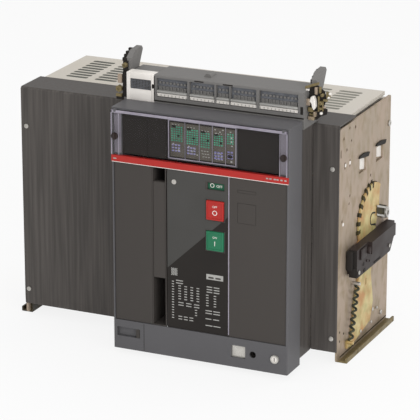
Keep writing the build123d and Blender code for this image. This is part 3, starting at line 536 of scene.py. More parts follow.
class BREAKER_OT_finishes(Step, bpy.types.Operator):
    """Give every CAD node its finish"""

    bl_idname = "breaker.finishes"
    bl_label = "Finishes"

    def execute(self, context):
        for name, nodes in CAD_FINISHES.items():
            for node in nodes:
                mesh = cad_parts[node].data
                mesh.materials.clear()
                mesh.materials.append(finish(name))
        return {"FINISHED"}


class BREAKER_OT_nameplate(Step, bpy.types.Operator):
    """Nameplate print: two fields split by a slanting line, and blank label fields"""

    bl_idname = "breaker.nameplate"
    bl_label = "Nameplate print"

    def execute(self, context):
        low, high = box_of("nameplate_panel")
        front = low.y
        t = sizes().sticker / MM
        left, right, bottom, top = low.x + 0.6, high.x - 0.6, low.z + 0.6, high.z - 0.6
        # The print stays clear of the openings for the flag and the buttons.
        hole_left, hole_right = 93.6, 127.2
        flag_low, flag_high = 293.0, 306.5
        open_low, open_high, close_low, close_high = 243.5, 278.0, 194.0, 228.5
        lean, split, gap = 0.94, 157.0, 0.2

        def slant(x):
            return split + lean * (x - left)

        def cross(z):
            return left + (z - split) / lean

        def field(*points):
            return outline_plate(points, "xz", front - t, t, edge=0)

        def band(a, b, z_low, z_high):
            return field((a, z_low), (b, z_low), (b, z_high), (a, z_high))
        light = [
            field((left, split), (hole_left, slant(hole_left)), (hole_left, top), (left, top)),
            band(hole_left, right, flag_high, top), band(hole_left, right, open_high, flag_low),
            field((hole_left, close_high), (cross(close_high), close_high), (cross(open_low), open_low),
                  (hole_left, open_low)),
            field((hole_right, slant(hole_right)), (right, slant(right)), (right, open_high),
                  (hole_right, open_high)),
            band(hole_right, right, flag_low, flag_high)]
        place("nameplate_light_field", light, "breaker", "nameplate_grey", "grey_plastic")
        dark = [
            field((left, bottom), (right, bottom), (right, close_low), (hole_left, close_low),
                  (hole_left, slant(hole_left) - gap), (left, split - gap)),
            field((cross(close_high) + gap, close_high), (hole_right, close_high), (hole_right, open_low),
                  (cross(open_low) + gap, open_low)),
            field((hole_right, close_low), (right, close_low), (right, slant(right) - gap),
                  (hole_right, slant(hole_right) - gap))]
        place("nameplate_dark_field", dark, "breaker", "printed_black", "grey_plastic")
        tile = slab((35.6, front - 2 * t, 146.0), (37.2, front - t, 147.6), 0.05, 1)
        marks = [rows(tile, 4, (2.9, 0, 0), 5, (0, 0, 2.6)),
                 slab((95.4, front - 2 * t, 147.6), (124, front - t, 156.4), 0.1, 1)]
        offset = slab((37.0, front - 2 * t, 147.3), (38.4, front - t, 148.7), 0.05, 1)
        marks.append(rows(offset, 3, (2.9, 0, 0), 4, (0, 0, 2.6)))
        # Blank rows of a rating table: start x, top z, dash width, rows, columns, column step.
        table = ((36.5, 136.5, 3.6, 15, 1, 0.0), (43.5, 139.0, 12.0, 2, 1, 0.0),
                 (47.5, 130.5, 4.6, 6, 4, 10.4),
                 (47.5, 103.0, 9.0, 2, 3, 13.5), (47.5, 80.0, 6.5, 2, 3, 9.5),
                 (96.0, 136.0, 9.5, 3, 2, 12.0),
                 (95.0, 122.0, 4.2, 5, 2, 13.0), (94.0, 96.5, 11.0, 2, 2, 13.5),
                 (94.0, 83.0, 10.0, 1, 2, 13.0),
                 (94.0, 72.0, 12.0, 1, 2, 13.5), (76.0, 94.0, 3.6, 3, 1, 0.0))
        dash_height, row_step = 1.5, 4.3
        for x, z, wide, down, across, step in table:
            dash = slab((x, front - 2 * t, z - dash_height), (x + wide, front - t, z), 0.05, 1)
            marks.append(rows(dash, across, (step, 0, 0), down, (0, 0, -row_step)))
        place("nameplate_marks", marks, "breaker", "pale_print", "white_plastic")
        stripes = [slab((x, front - 2 * t - 0.1, 149.6), (x + 9.0, front - 2 * t, 152.2), 0.03, 1)
                   for x in (99.0, 111.0)]
        place("nameplate_label_stripes", stripes, "breaker", "panel_grey", "grey_plastic")
        return {"FINISHED"}


class BREAKER_OT_buttons(Step, bpy.types.Operator):
    """Push buttons with a raised rim, and their marks"""

    bl_idname = "breaker.buttons"
    bl_label = "Push buttons"

    def execute(self, context):
        for node, mark, word, colour in (("open_button", "O", "OFF", "red"),
                                         ("close_button", "I", "ON", "green")):
            low, high = box_of(node)
            face_low, face_high = (low.x + 2.0, low.z + 2.0), (high.x - 2.0, high.z - 2.0)
            cap = slab((face_low[0], low.y, face_low[1]), (face_high[0], high.y, face_high[1]), 1.4, 3)
            socket(cap, "y", -1, 1.6, 0.7)
            collar = slab((low.x, -203.2, low.z), (high.x, -201.5, high.z), 0.3, 1)
            place(node + "_cap", [cap, collar], node, colour + "_moulding", colour + "_plastic", node)
            x, z = (face_low[0] + face_high[0]) / 2, (face_low[1] + face_high[1]) / 2
            floor = low.y + 0.65
            letters = [lettering(mark, (x, z - 4.0), 8.0, floor), lettering(word, (x, z + 6.0), 3.4, floor)]
            place(node + "_mark", letters, node, "white_moulding", "white_plastic")
        return {"FINISHED"}


class BREAKER_OT_fasteners(Step, bpy.types.Operator):
    """Heads of the covers' and the nameplate's screws"""

    bl_idname = "breaker.fasteners"
    bl_label = "Panel screws"

    def execute(self, context):
        heads = [socket(disc((x, -112.9, z), "y", 3.9, 1.8, 0.6), "y", -1, 1.9, 0.5)
                 for x, z in ((-266, 325), (-268, 46), (265, 320.5), (267, 43))]
        heads.append(socket(disc((41.0, -207.2, 298.5), "y", 4.0, 1.4, 0.5), "y", -1, 1.8, 0.5))
        place("panel_screw_heads", heads, "breaker", "plated_steel", "bright_steel", "panel_screws")
        return {"FINISHED"}


class BREAKER_OT_spring(Step, bpy.types.Operator):
    """Coiled return spring beside the shutter lever"""

    bl_idname = "breaker.spring"
    bl_label = "Return spring"

    def execute(self, context):
        foot = Vector((282.5, -68.0, 27.0)) * MM
        along = Vector((282.5, -44.0, 111.0)) * MM - foot
        turns, coil_radius = 8, 3.0
        begin()
        bpy.ops.mesh.primitive_circle_add(vertices=8, radius=sizes().coil_wire,
                                          location=(coil_radius * MM, 0, 0), rotation=(math.pi / 2, 0, 0))
        coil = settle()
        winding = coil.modifiers.new("Winding", "SCREW")
        winding.axis = "Z"
        winding.angle = 2 * math.pi * turns
        winding.screw_offset = along.length
        winding.steps = winding.render_steps = 20 * turns
        winding.use_merge_vertices = False
        bpy.ops.object.modifier_apply(modifier="Winding")
        coil.rotation_mode = "QUATERNION"
        coil.rotation_quaternion = along.to_track_quat("Z", "Y")
        coil.location = foot
        settle()
        edit_all()
        bpy.ops.mesh.normals_make_consistent(inside=False)
        leave_edit()
        place("side_spring_coil", [coil], "cradle", "spring_wire", "bright_steel", "side_spring")
        return {"FINISHED"}


class BREAKER_OT_trip_unit(Step, bpy.types.Operator):
    """Face of the trip unit: setting fields with small switches"""

    bl_idname = "breaker.trip_unit"
    bl_label = "Trip unit face"

    def execute(self, context):
        low, high = box_of("trip_unit")
        floor = low.y + 1.2

        def tab(x, z, wide, high_by, proud, back, edge=0.12):
            return slab((x, floor - proud, z), (x + wide, floor - back, z + high_by), edge, 1)
        board = slab((low.x + 3.2, floor - 0.4, low.z + 3.2), (high.x - 3.2, floor - 0.05, high.z - 3.2),
                     0.1, 1)
        place("trip_unit_board", [board], "breaker", "printed_black", "grey_plastic")
        rim = slabs(0.3, 1, *(((a, floor - 1.6, c), (b, floor - 0.6, d)) for a, b, c, d in (
            (low.x + 1.6, low.x + 3.0, low.z + 2.0, high.z - 2.0),
            (high.x - 3.0, high.x - 1.6, low.z + 2.0, high.z - 2.0),
            (low.x + 1.6, high.x - 1.6, high.z - 3.4, high.z - 2.0),
            (low.x + 1.6, high.x - 1.6, low.z + 2.0, low.z + 3.4))))
        rim += [slab((x - 0.4, floor - 1.2, low.z + 3.4), (x + 0.4, floor - 0.4, high.z - 3.4), 0.2, 1)
                for x in (58.7, 82.7, 104.5, 126.5)]
        place("trip_unit_rim", rim, "breaker", "edge_violet", "grey_plastic")
        columns = ((34.0, 57.5), (60.0, 82.0), (83.5, 103.5), (105.5, 125.5), (127.5, 142.0))
        fields = [tab(a, 338.5, b - a, 54.5, 0.8, 0.4, 0.15) for a, b in columns]
        place("trip_unit_fields", fields, "breaker", "setting_field", "grey_plastic")
        teal = []
        for (a, b), top, count in zip(columns, (387.0, 385.0, 382.5, 381.0, 386.0), (7, 7, 7, 5, 5)):
            key = tab(a + 1.8, top - 1.9, 2.5, 1.9, 1.1, 0.8)
            teal.append(rows(key, int((b - a - 2.0) // 4.0), (4.0, 0, 0), count, (0, 0, -3.6)))
        place("trip_unit_teal_keys", teal, "breaker", "teal_key", "green_plastic")
        violet = []
        for (a, b), top in zip((columns[0], columns[1], columns[3], columns[4]),
                               (358.5, 357.0, 355.0, 358.0)):
            key = tab(a + 2.5, top - 2.4, 3.5, 2.4, 1.1, 0.8)
            violet.append(rows(key, 2 if b - a < 16 else 3, (5.2, 0, 0), 3, (0, 0, -4.6)))
        place("trip_unit_violet_keys", violet, "breaker", "violet_key", "grey_plastic")
        caps = [tab(a + 2.0, 385.0 - i * 1.6, 7.0, 3.5, 1.25, 0.9) for i, (a, b) in enumerate(columns[:4])]
        caps += [tab(a + 11.5, 371.0 - i, 4.0, 3.0, 1.25, 0.9) for i, (a, b) in enumerate(columns[:4])]
        caps.append(tab(130.5, 347.5, 7.0, 5.0, 1.25, 0.9))
        place("trip_unit_dark_marks", caps, "breaker", "printed_black", "grey_plastic")
        lights = [tab(135.0, z, 3.0, 3.0, 1.1, 0.8) for z in (340.5, 372.0, 378.0)]
        lights += [tab(x, z, 2.6, 1.6, 1.1, 0.8)
                   for x, z in ((74.0, 354.0), (69.0, 349.5), (115.0, 352.0), (119.0, 347.0), (38.0, 358.5),
                                (47.0, 349.0), (64.0, 357.0), (78.0, 345.0), (108.0, 389.0), (116.0, 386.0),
                                (121.0, 389.5), (110.0, 383.5), (129.5, 384.0), (133.5, 388.0),
                                (136.0, 366.0))]
        for (a, b), top in zip(columns[:4], (389.5, 387.5, 385.0, 383.5)):
            lights.append(rows(tab(a + 3.0, top, 2.4, 0.9, 1.2, 0.85, 0.08), 3, (5.0, 0, 0)))
            lights.append(rows(tab(a + 2.4, top - 32.0, 3.0, 0.8, 1.2, 0.85, 0.08), 3, (4.6, 0, 0), 3,
                               (1.2, 0, -4.6)))
        place("trip_unit_lamps", lights, "breaker", "pale_print", "white_plastic")
        return {"FINISHED"}


class BREAKER_OT_front(Step, bpy.types.Operator):
    """Lines of the band, flag fields, cover edges, strip seam, pull slot, handle hole and lock"""

    bl_idname = "breaker.front"
    bl_label = "Front details"

    def execute(self, context):
        line = slab((-64.5, -209.4, 318.7), (232.5, -208.05, 319.9), 0.2, 1)
        place("band_lower_line", [line], "breaker", "white_moulding", "white_plastic")
        marks = [slab((x, -210.3, 324.2), (x + 3.6, -209.9, 326.4), 0.1, 1)
                 for x in (196.0, 201.5, 208.5, 213.0, 219.5, 226.0)]
        marks.append(slab((-61.5, -210.3, 323.8), (-56.0, -209.9, 325.6), 0.1, 1))
        place("band_marks", marks, "breaker", "pale_print", "white_plastic")
        divider = slab((132.3, -206.9, 61.0), (133.9, -206.2, 318.0), 0.2, 1)
        place("panel_divider", [divider], "breaker", "edge_violet", "grey_plastic")
        low, high = box_of("state_flag")
        for name, bottom, top, colour, slot_name in (
                ("state_flag_open_field", 293.4, 305.0, "flag_green", "green_plastic"),
                ("state_flag_closed_field", 305.3, 316.6, "red_moulding", "red_plastic")):
            card = slab((low.x + 0.5, low.y - 0.15, bottom), (high.x - 0.5, low.y - 0.02, top), 0.05, 1)
            place(name, [card], "state_flag", colour, slot_name)
        marks = [lettering(text, (x, z), height, low.y - 0.14) for text, x, z, height in (
            ("O", 104.0, 299.4, 7.0), ("I", 104.0, 310.8, 7.0), ("OFF", 116.0, 299.2, 4.2),
            ("ON", 115.0, 310.6, 4.2))]
        place("state_flag_marks", marks, "state_flag", "white_moulding", "white_plastic")
        low, high = box_of("transparent_cover")
        lines = slabs(0.1, 1, *(((a, low.y + 0.02, c), (b, low.y + 0.5, d)) for a, b, c, d in (
            (low.x + 0.3, low.x + 2.1, low.z + 1.0, high.z - 0.6),
            (high.x - 2.1, high.x - 0.3, low.z + 1.0, high.z - 0.6),
            (low.x + 0.3, high.x - 0.3, high.z - 4.6, high.z - 0.4),
            (low.x + 13.0, low.x + 14.2, low.z + 1.0, high.z - 5.2),
            (high.x - 13.2, high.x - 12.2, low.z + 1.0, high.z - 5.2))))
        place("cover_edge_lines", lines, "cover", "edge_violet", "clear_plastic")
        posts = [slab((x, -205.4, 333.0), (x + 11.8, -205.08, 400.0), 0.1, 1) for x in (217.8, -61.6)]
        place("post_faces", posts, "breaker", "post_grey", "grey_plastic")
        for node in ("cover_knob_left", "cover_knob_right"):
            low, high = box_of(node)
            x, z = (low.x + high.x) / 2, (low.z + high.z) / 2
            # Painted highlight: a white strip across the centre of each cover knob.
            knob_highlight = slab((x - 1.1, low.y + 0.01, z - 2.6), (x + 1.1, low.y + 0.6, z + 2.6), 0.25, 2)
            place(node + "_grip", [knob_highlight], node, "white_moulding", "white_plastic")
        seam = slab((-12.4, -208.15, 11.0), (-11.6, -207.9, 57.0), 0.05, 1)
        place("strip_seam", [seam], "breaker", "printed_black", "grey_plastic")
        pocket = slab((-58.5, -202.6, 31.5), (-19.5, -202.1, 45.5), 0.1, 1)
        place("pull_slot_back", [pocket], "breaker", "shield_grey", "grey_plastic")
        backing = slab((229.4, -111.1, 20.6), (234.0, -108.4, 40.0), 0.3, 1)
        place("cover_seam_strip", [backing], "breaker", "sheet_coat", "dark_paint")
        # Painted shade: a black collar fills the ring between the handle's hole and the screw behind it.
        hole_x = 174.6
        collar = disc((hole_x, -201.7, 35.0), "y", 9.0, 2.6, 0.3)
        edit_faces(collar, lambda centre, normal: abs(normal.y) > 0.95 and abs(centre.x / MM - hole_x) < 0.5)
        bpy.ops.mesh.inset(thickness=3.0 * MM)
        bpy.ops.mesh.bridge_edge_loops()
        leave_edit()
        place("handle_hole_collar", [collar], "breaker", "printed_black", "grey_plastic")
        # Painted highlight: the lip at the slot's right end is in the lighter box grey.
        lip = slab((-26.5, -206.5, 33.0), (-20.0, -202.4, 43.5), 1.2, 3)
        place("pull_slot_lip", [lip], "breaker", "box_grey", "grey_plastic")
        lock_x, lock_z = 212.0, 34.0
        ring = disc((lock_x, -209.4, lock_z), "y", 6.9, 2.6, 0.7)
        socket(ring, "y", -1, 1.6, 0.4)
        stem = disc((lock_x, -195.0, lock_z), "y", 6.9, 26.0, 0.4)
        # Painted shade: a black strip for the keyway's slot.
        keyway = slab((211.4, -210.6, 30.8), (212.6, -210.3, 37.2), 0.1, 1)
        # Painted highlight: a white disc stands for the light on the lock's steel face.
        lock_highlight = disc((lock_x, -210.2, lock_z), "y", 5.0, 0.5, 0.15)
        place("lock_disc", [lock_highlight], "lock_barrel", "white_moulding", "white_plastic")
        place("lock_face", [ring, stem], "lock_barrel", "plated_steel", "bright_steel", "lock_barrel")
        place("lock_keyway", [keyway], "lock_barrel", "printed_black", "black_plastic")
        return {"FINISHED"}


class BREAKER_OT_wiring_box(Step, bpy.types.Operator):
    """Terminals behind the box's windows, the white module, marks on the lid, painted shade in the box's
    slots and gaps, and the chutes' strips
    """

    bl_idname = "breaker.wiring_box"
    bl_label = "Wiring box and chutes"

    def execute(self, context):
        windows = ((-14.0, 38.0), (42.0, 84.0), (87.0, 109.0), (111.0, 154.0), (159.0, 223.0))
        pitch = 6.0
        backs, plugs, screws = [], [], []
        for a, b in windows:
            backs.append(slab((a + 0.4, -146.6, 421.0), (b - 0.4, -146.1, 443.4), 0.1, 1))
            count = int((b - a - 2.0) // pitch)
            first = a + (b - a - count * pitch) / 2
            plug = slab((first + 0.5, -149.4, 422.0), (first + 5.5, -146.6, 431.0), 0.5, 1)
            socket(plug, "y", -1, 0.9, 1.0)
            plugs.append(rows(plug, count, (pitch, 0, 0)))
            head = disc((first + 3.0, -148.2, 436.5), "y", 2.1, 2.6, 0.4, 12)
            screws.append(rows(head, count, (pitch, 0, 0)))
        place("window_backs", backs, "breaker", "window_grey", "black_plastic")
        place("wire_sockets", plugs, "breaker", "box_grey", "grey_plastic")
        place("terminal_screws", screws, "breaker", "box_grey", "grey_plastic")
        # The module's white front frame stands before a grey body, round its window.
        frame_bars = slabs(0.8, 2, ((-65.0, -154.0, 403.2), (-59.0, -133.5, 448.6)),
                           ((-23.0, -154.0, 403.2), (-18.4, -133.5, 448.6)))
        frame_bars += slabs(0.6, 2, ((-59.6, -153.9, 403.3), (-22.4, -133.6, 422.6)),
                            ((-59.6, -153.9, 439.0), (-22.4, -133.6, 448.5)))
        place("module_frame", frame_bars, "breaker", "white_moulding", "ivory_plastic",
              "white_terminal_module")
        rear = slab((-64.8, -134.0, 390.6), (-18.6, -95.2, 446.2), 1.2, 2)
        place("module_rear", [rear], "breaker", "box_grey", "grey_plastic")
        mesh_back = slab((-59.4, -151.4, 421.4), (-22.6, -150.9, 439.0), 0.1, 1)
        place("module_window_back", [mesh_back], "breaker", "panel_grey", "grey_plastic")
        bar = slab((-58.8, -152.0, 422.6), (-23.2, -151.4, 423.3), 0.2, 1)
        upright = slab((-58.2, -152.1, 422.0), (-57.5, -151.3, 438.4), 0.2, 1)
        grid = [rows(bar, 7, (0, 0, 2.4)), rows(upright, 14, (2.6, 0, 0))]
        place("module_window_grid", grid, "breaker", "window_grey", "grey_plastic")
        # Painted shade: black strips in the lid's slots, beside the white module, and along the box's lower
        # edge over the shield, where its shadow falls.
        marks = slabs(0.4, 1, ((50.0, -152.2, 444.6), (66.0, -149.0, 447.2)),
                      ((98.0, -152.2, 444.6), (115.0, -149.0, 447.2)))
        marks += slabs(0.2, 1, ((227.0, -152.3, 413.5), (231.4, -151.8, 426.0)),
                       ((-64.6, -152.4, 406.3), (232.6, -151.9, 408.6)))
        marks += [slab((-21.4, -154.3, 426.5), (-18.3, -152.0, 433.5), 0.3, 1),
                  slab((-18.35, -152.8, 407.0), (-17.3, -151.8, 446.0), 0.2, 1)]
        place("box_slots", marks, "breaker", "printed_black", "black_plastic")
        tick = slab((-13.0, -152.2, 415.6), (-12.0, -151.9, 418.6), 0.05, 1)
        strips = [slab((a + 0.6, -153.4, 421.4), (b - 0.6, -147.0, 424.6), 0.5, 2) for a, b in windows]
        strips.append(rows(tick, 38, (6.2, 0, 0)))
        place("window_marking_strips", strips, "breaker", "pale_print", "white_plastic")
        for label, centres, colour in (("left", (-193.5, -64.5), "vent_grey"),
                                       ("right", (64.5, 193.5), "vent_pale")):
            vents = []
            for middle in (centre + side * 26.0 for centre in centres for side in (-1, 1)):
                vent = slab((middle - 19.4, -26.4, 388.6), (middle + 19.4, -17.6, 389.6), 0.3, 1)
                vents.append(rows(vent, 8, (0, 14, 0)))
            place("chute_vents_" + label, vents, "breaker", colour, "ivory_plastic")
        return {"FINISHED"}


class BREAKER_OT_right_side(Step, bpy.types.Operator):
    """Louvres with painted shade under their hoods, lever details, painted shade in gaps, fasteners, roller
    and contact box on the cradle's right side plate
    """

    bl_idname = "breaker.right_side"
    bl_label = "Right side details"

    def execute(self, context):
        face = 275.45
        pivot_y, pivot_z = 28.0, 200.0

        def plate(points, at, thickness, edge=0.0):
            return outline_plate(points, "yz", at, thickness, edge=edge)

        def sector(inner, outer, start, end):
            """Corners of a piece of a ring round the lever's pivot, from one angle to the next."""
            return [(pivot_y + r * math.cos(t), pivot_z + r * math.sin(t))
                    for r, t in ((inner, start), (outer, start), (outer, end), (inner, end))]

        # Painted shade: each louvre's black flap stands for its hood with the shade under it; the flap hangs
        # lower at its rear end, and the white of the rear wall shows below it.
        hood_shade_outline = ((-31.0, 315.8), (-26.6, 319.2), (-9.0, 319.6), (14.8, 315.2), (9.5, 309.5), (-12.0, 312.6))
        beyond = ((-16.2, 312.5), (14.6, 304.0), (15.0, 286.2), (-15.8, 294.0))
        hood_shades, seen, liners = [], [], []
        for shift in (0.0, 73.6):
            hood_shades.append(plate([(y + shift, z) for y, z in hood_shade_outline], face, 2.4, 0.3))
            seen.append(plate([(y + shift, z) for y, z in beyond], 271.9, 0.5))
            liners.append(slab((271.0, shift - 28.0, 285.0), (271.8, shift + 8.0, 317.0), 0.1, 1))
        liners.append(slab((271.4, -93.0, 310.0), (272.3, -60.0, 330.0), 0.2, 1))
        place("louvre_flaps", hood_shades, "cradle", "printed_black", "black_plastic")
        place("window_view", seen, "cradle", "white_moulding", "ivory_plastic")
        place("window_liners", liners, "cradle", "zinc_plate", "zinc_steel")
        bushes = [disc((275.7, y, z), "x", 3.0, 0.8, 0.3, 20)
                  for y, z in ((-85.1, 320.4), (-66.6, 319.7), (-91.4, 226.3))]
        place("snap_bushes", bushes, "cradle", "white_moulding", "white_plastic")
        backing = [plate(sector(49.0, 60.5, math.radians(turn), math.radians(turn + 10)), 275.48, 0.2)
                   for turn in range(64, 204, 10)]
        place("sector_shadow_arc", backing, "cradle", "printed_black", "black_plastic")
        # Painted shade: olive patches on the plate just beyond each of the sector's gaps, and olive fills
        # inside the gaps.
        shade_and_spots, fills = [], []
        for number in range(8):
            turn = math.radians(88 + number * 14)
            along, across = Vector((math.cos(turn), math.sin(turn))), Vector((-math.sin(turn),
                                                                              math.cos(turn)))
            centre = Vector((pivot_y, pivot_z)) + along * 56.0
            for kept, corners, at, thick in (
                    (shade_and_spots, ((2.0, -3.8), (8.0, -3.0), (8.0, 3.0), (2.0, 3.8)), 275.48, 0.22),
                    (fills, ((-4.4, -3.2), (4.6, -3.2), (4.6, 3.2), (-4.4, 3.2)), 275.9, 2.5)):
                kept.append(plate([tuple(centre + along * u + across * v) for u, v in corners], at, thick))
        place("sector_gap_shadows", fills, "shutter_lever", "olive_black", "black_plastic")
        # Also three small dark olive spots near the plate's front edge.
        shade_and_spots += [disc((275.58, y, z), "x", 2.0, 0.2, 0.05, 16)
                   for y, z in ((-98.2, 49.7), (-97.5, 34.3), (-81.3, 42.2))]
        place("plate_stains", shade_and_spots, "cradle", "olive_black", "black_plastic")
        on_lever = [disc((279.4, y, z), "x", radius, 1.6, 0.5, 20)
                    for y, z, radius in ((36, 44, 3.0), (30.5, 24, 2.6), (-16, 24, 3.0))]
        place("lever_rivets", on_lever, "shutter_lever", "plated_steel", "bright_steel")
        heads = []
        for y, z, radius in ((103.0, 338.0, 5.0), (80.0, 24.0, 3.8), (61.0, 38.0, 2.4)):
            heads.append(socket(disc((276.8, y, z), "x", radius, 2.6, 0.8, 24), "x", 1, radius * 0.45, 0.6))
        heads.append(disc((281.5, -43.0, 114.3), "x", 3.0, 12.0, 0.5, 20))
        # The roller's fork slopes down to the rear, past the lever's edge.
        for points in (((44, 218.5), (97, 199.2), (97, 195.6), (44, 214.9)),
                       ((44, 204.0), (94, 185.8), (94, 182.2), (44, 200.4))):
            heads.append(plate(points, 279.3, 2.0, 0.4))
        heads.append(slab((275.5, 74.0, 186.0), (279.6, 97.0, 200.0), 0.8, 2))
        heads.append(socket(disc((280.0, 86.0, 193.5), "x", 7.6, 7.0, 0.8, 28), "x", 1, 2.6, 4.5))
        place("cradle_fastener_heads", heads, "cradle", "plated_steel", "bright_steel", "cradle_fasteners")
        # Painted shade: olive plates in the gap between the roller's fork arms and on the plate behind them.
        gap = plate(((45, 214.5), (80, 201.8), (80, 191.2), (45, 204.2)), 279.2, 0.5)
        under = plate(((58.5, 216.0), (100, 200.6), (100, 179.0), (58.5, 194.0)), face, 0.3)
        place("roller_bracket_gap", [gap, under], "cradle", "olive_black", "black_plastic")
        pivot = disc((277.4, pivot_y, pivot_z), "x", 7.0, 3.6, 0.4, 28)
        place("lever_pivot", [pivot], "cradle", "passivated_zinc", "yellow_zinc")
        # Painted shadow: a dark olive line on the plate just above the foot rail.
        rail_shade = slab((275.48, -96.0, 6.4), (275.7, 108.0, 8.6), 0.05, 1)
        place("rail_edge_line", [rail_shade], "cradle", "olive_black", "black_plastic")
        # Painted shade: black pieces stand for the shade in the C-shaped cut round the lever's pivot and its
        # two slanting arms.
        ring = [sector(8.4, 11.0, math.radians(turn), math.radians(turn + 20))
                for turn in range(90, 270, 20)]
        ring += [((28, 208.4), (41, 205.0), (41, 207.8), (28, 211.0)),
                 ((28, 189.0), (44, 183.6), (42, 188.4), (28, 191.6))]
        place("lever_c_cut", [plate(points, 278.75, 0.3) for points in ring], "shutter_lever",
              "printed_black",
              "black_plastic")
        face = 293.0
        heads = [socket(disc((face + 0.5, y, z), "x", 3.3, 1.4, 0.5, 24), "x", 1, 1.6, 0.5)
                 for y, z in ((-64.0, 141.0), (70.0, 144.0))]
        place("contact_box_screws", heads, "cradle", "plated_steel", "bright_steel")
        bosses = [disc((face + 2.8, -27.0, 167.0), "x", 6.0, 5.5, 0.8, 28),
                  slab((face, -60.0, 160.0), (face + 2.2, -36.0, 177.0), 0.6, 2),
                  disc((face + 0.4, -30.0, 150.0), "x", 2.2, 1.0, 0.3, 16),
                  disc((face + 0.4, -18.0, 146.0), "x", 1.6, 1.0, 0.3, 16)]
        place("contact_box_bosses", bosses, "cradle", "black_moulding", "black_plastic")
        end = [slab((279.3, -72.6, 134.0), (292.4, -71.9, 179.0), 0.3, 1),
               slab((276.2, -78.5, 146.0), (287.0, -72.2, 178.0), 1.5, 3),
               slab((280.5, -74.5, 136.0), (291.0, -72.3, 150.0), 0.8, 2)]
        end += slabs(0.2, 1, *(((face - 0.3, a, c), (face + 0.25, b, d)) for a, b, c, d in (
            (-70.5, -62.5, 134.5, 144.0), (-46.0, -41.0, 146.0, 151.0), (-44.0, -36.0, 134.5, 140.0),
            (2.0, 30.0, 134.5, 138.0))))
        place("contact_box_end", end, "cradle", "printed_black", "black_plastic")
        return {"FINISHED"}


class BREAKER_OT_tabs(Step, bpy.types.Operator):
    """Teeth of the guide tabs, and the brackets at the ends of the terminal row"""

    bl_idname = "breaker.tabs"
    bl_label = "Guide tabs and brackets"

    def execute(self, context):
        teeth = []
        for y, low, high in ((-131.6, 458.5, 464.0), (-126.0, 462.0, 468.0), (-119.5, 466.5, 471.5),
                             (-110.0, 470.0, 474.5)):
            teeth.append(slab((-83.0, y, low), (-74.9, y + 5.0, high), 0.5, 2))
            teeth.append(slab((234.2, y, low), (236.2, y + 5.0, high + 0.4), 0.4, 2))
        place("guide_tab_teeth", teeth, "breaker", "printed_black", "grey_plastic")
        # Bracket hardware, mostly at the right end: plates, back plate, lever strip, nuts, clip and pins.
        plain = [slab(low, high, edge, 2) for low, high, edge in (
            ((234.0, -139.5, 402.8), (243.6, -133.0, 408.6), 0.8),
            ((243.2, -141.0, 409.0), (246.8, -133.0, 417.0), 0.6),
            ((243.4, -137.0, 443.5), (248.0, -133.2, 454.5), 0.6),
            ((231.8, -143.2, 426.5), (238.4, -138.0, 437.0), 0.8),
            ((256.0, -136.0, 423.0), (261.0, -133.5, 426.0), 0.6),
            ((-88.5, -138.0, 424.0), (-81.0, -133.5, 438.5), 0.8))]
        place("bracket_plates", plain, "breaker", "zinc_plate", "zinc_steel")
        # Painted shade: the black back plates stand for the dark gaps behind the bracket hardware.
        backs = [outline_plate([(233.6, 402.6), (246.0, 402.6), (253.0, 409.0), (262.5, 413.0),
                                (263.5, 421.0),
                                (257.0, 424.0), (262.0, 436.0), (258.5, 449.0), (247.0, 457.0),
                                (233.6, 452.0)],
                               "xz", -133.0, 1.5, edge=0.3),
                 slab((-80.6, -136.0, 402.0), (-72.0, -132.6, 443.0), 0.5, 1),
                 slab((-92.0, -136.0, 397.0), (-79.6, -133.2, 402.5), 0.5, 1),
                 slab((-81.0, -133.4, 436.0), (-72.0, -131.7, 460.0), 0.4, 1)]
        place("bracket_backs", backs, "breaker", "printed_black", "black_plastic", "end_brackets")
        yellow = [outline_plate([(228.6, 450.6), (228.6, 455.0), (240.0, 459.6), (251.0, 463.6),
                                 (251.0, 459.6),
                                 (240.0, 455.4)], "xz", -138.4, 2.6, edge=0.4)]
        yellow += [slab(low, high, edge, 2) for low, high, edge in (
            ((234.2, -141.0, 416.0), (242.6, -135.4, 423.6), 0.8),
            ((250.2, -137.0, 446.0), (254.0, -133.2, 456.0), 0.8),
            ((257.5, -137.5, 434.0), (264.5, -133.2, 437.5), 0.7),
            ((248.8, -136.8, 417.0), (251.4, -133.2, 441.0), 0.6),
            ((255.6, -136.8, 418.0), (257.6, -133.2, 434.0), 0.5),
            ((234.4, -136.0, 409.4), (241.0, -133.2, 412.6), 0.6),
            ((-91.0, -139.5, 402.4), (-81.0, -133.4, 407.2), 0.7))]
        for x, z, radius in ((253.8, 431.0, 3.6), (256.4, 443.6, 2.8), (253.6, 422.4, 2.4),
                             (-86.0, 415.0, 6.0),
                             (-76.0, 453.5, 4.4)):
            yellow.append(socket(disc((x, -136.4, z), "y", radius, 6.4, 0.8, 6), "y", -1, radius * 0.42,
                                 1.0))
        place("bracket_nuts", yellow, "breaker", "aged_zinc", "yellow_zinc")
        clip = outline_plate([(237.6, 433.0), (239.4, 440.6), (244.0, 442.0), (246.6, 436.0), (247.6, 425.0),
                              (244.4, 420.0), (242.0, 424.0), (241.0, 430.0)], "xz", -143.6, 8.4, edge=0.9)
        pins = [disc((x, y, z), "y", radius, length, edge, 16) for x, y, z, radius, length, edge in (
            (268.0, -134.6, 446.5, 2.1, 3.0, 0.6), (266.0, -134.6, 440.4, 1.7, 3.0, 0.5),
            (254.3, -135.0, 414.6, 2.3, 4.0, 0.7))]
        tongue = slab((229.6, -138.6, 448.4), (235.0, -134.6, 450.6), 0.4, 1)
        place("bracket_clips", [clip, *pins, tongue], "breaker", "white_moulding", "white_plastic")
        arm = slab((261.0, -134.0, 438.6), (268.0, -132.0, 448.4), 0.5, 1)
        place("bracket_arms", [arm], "breaker", "aged_zinc", "yellow_zinc")
        return {"FINISHED"}


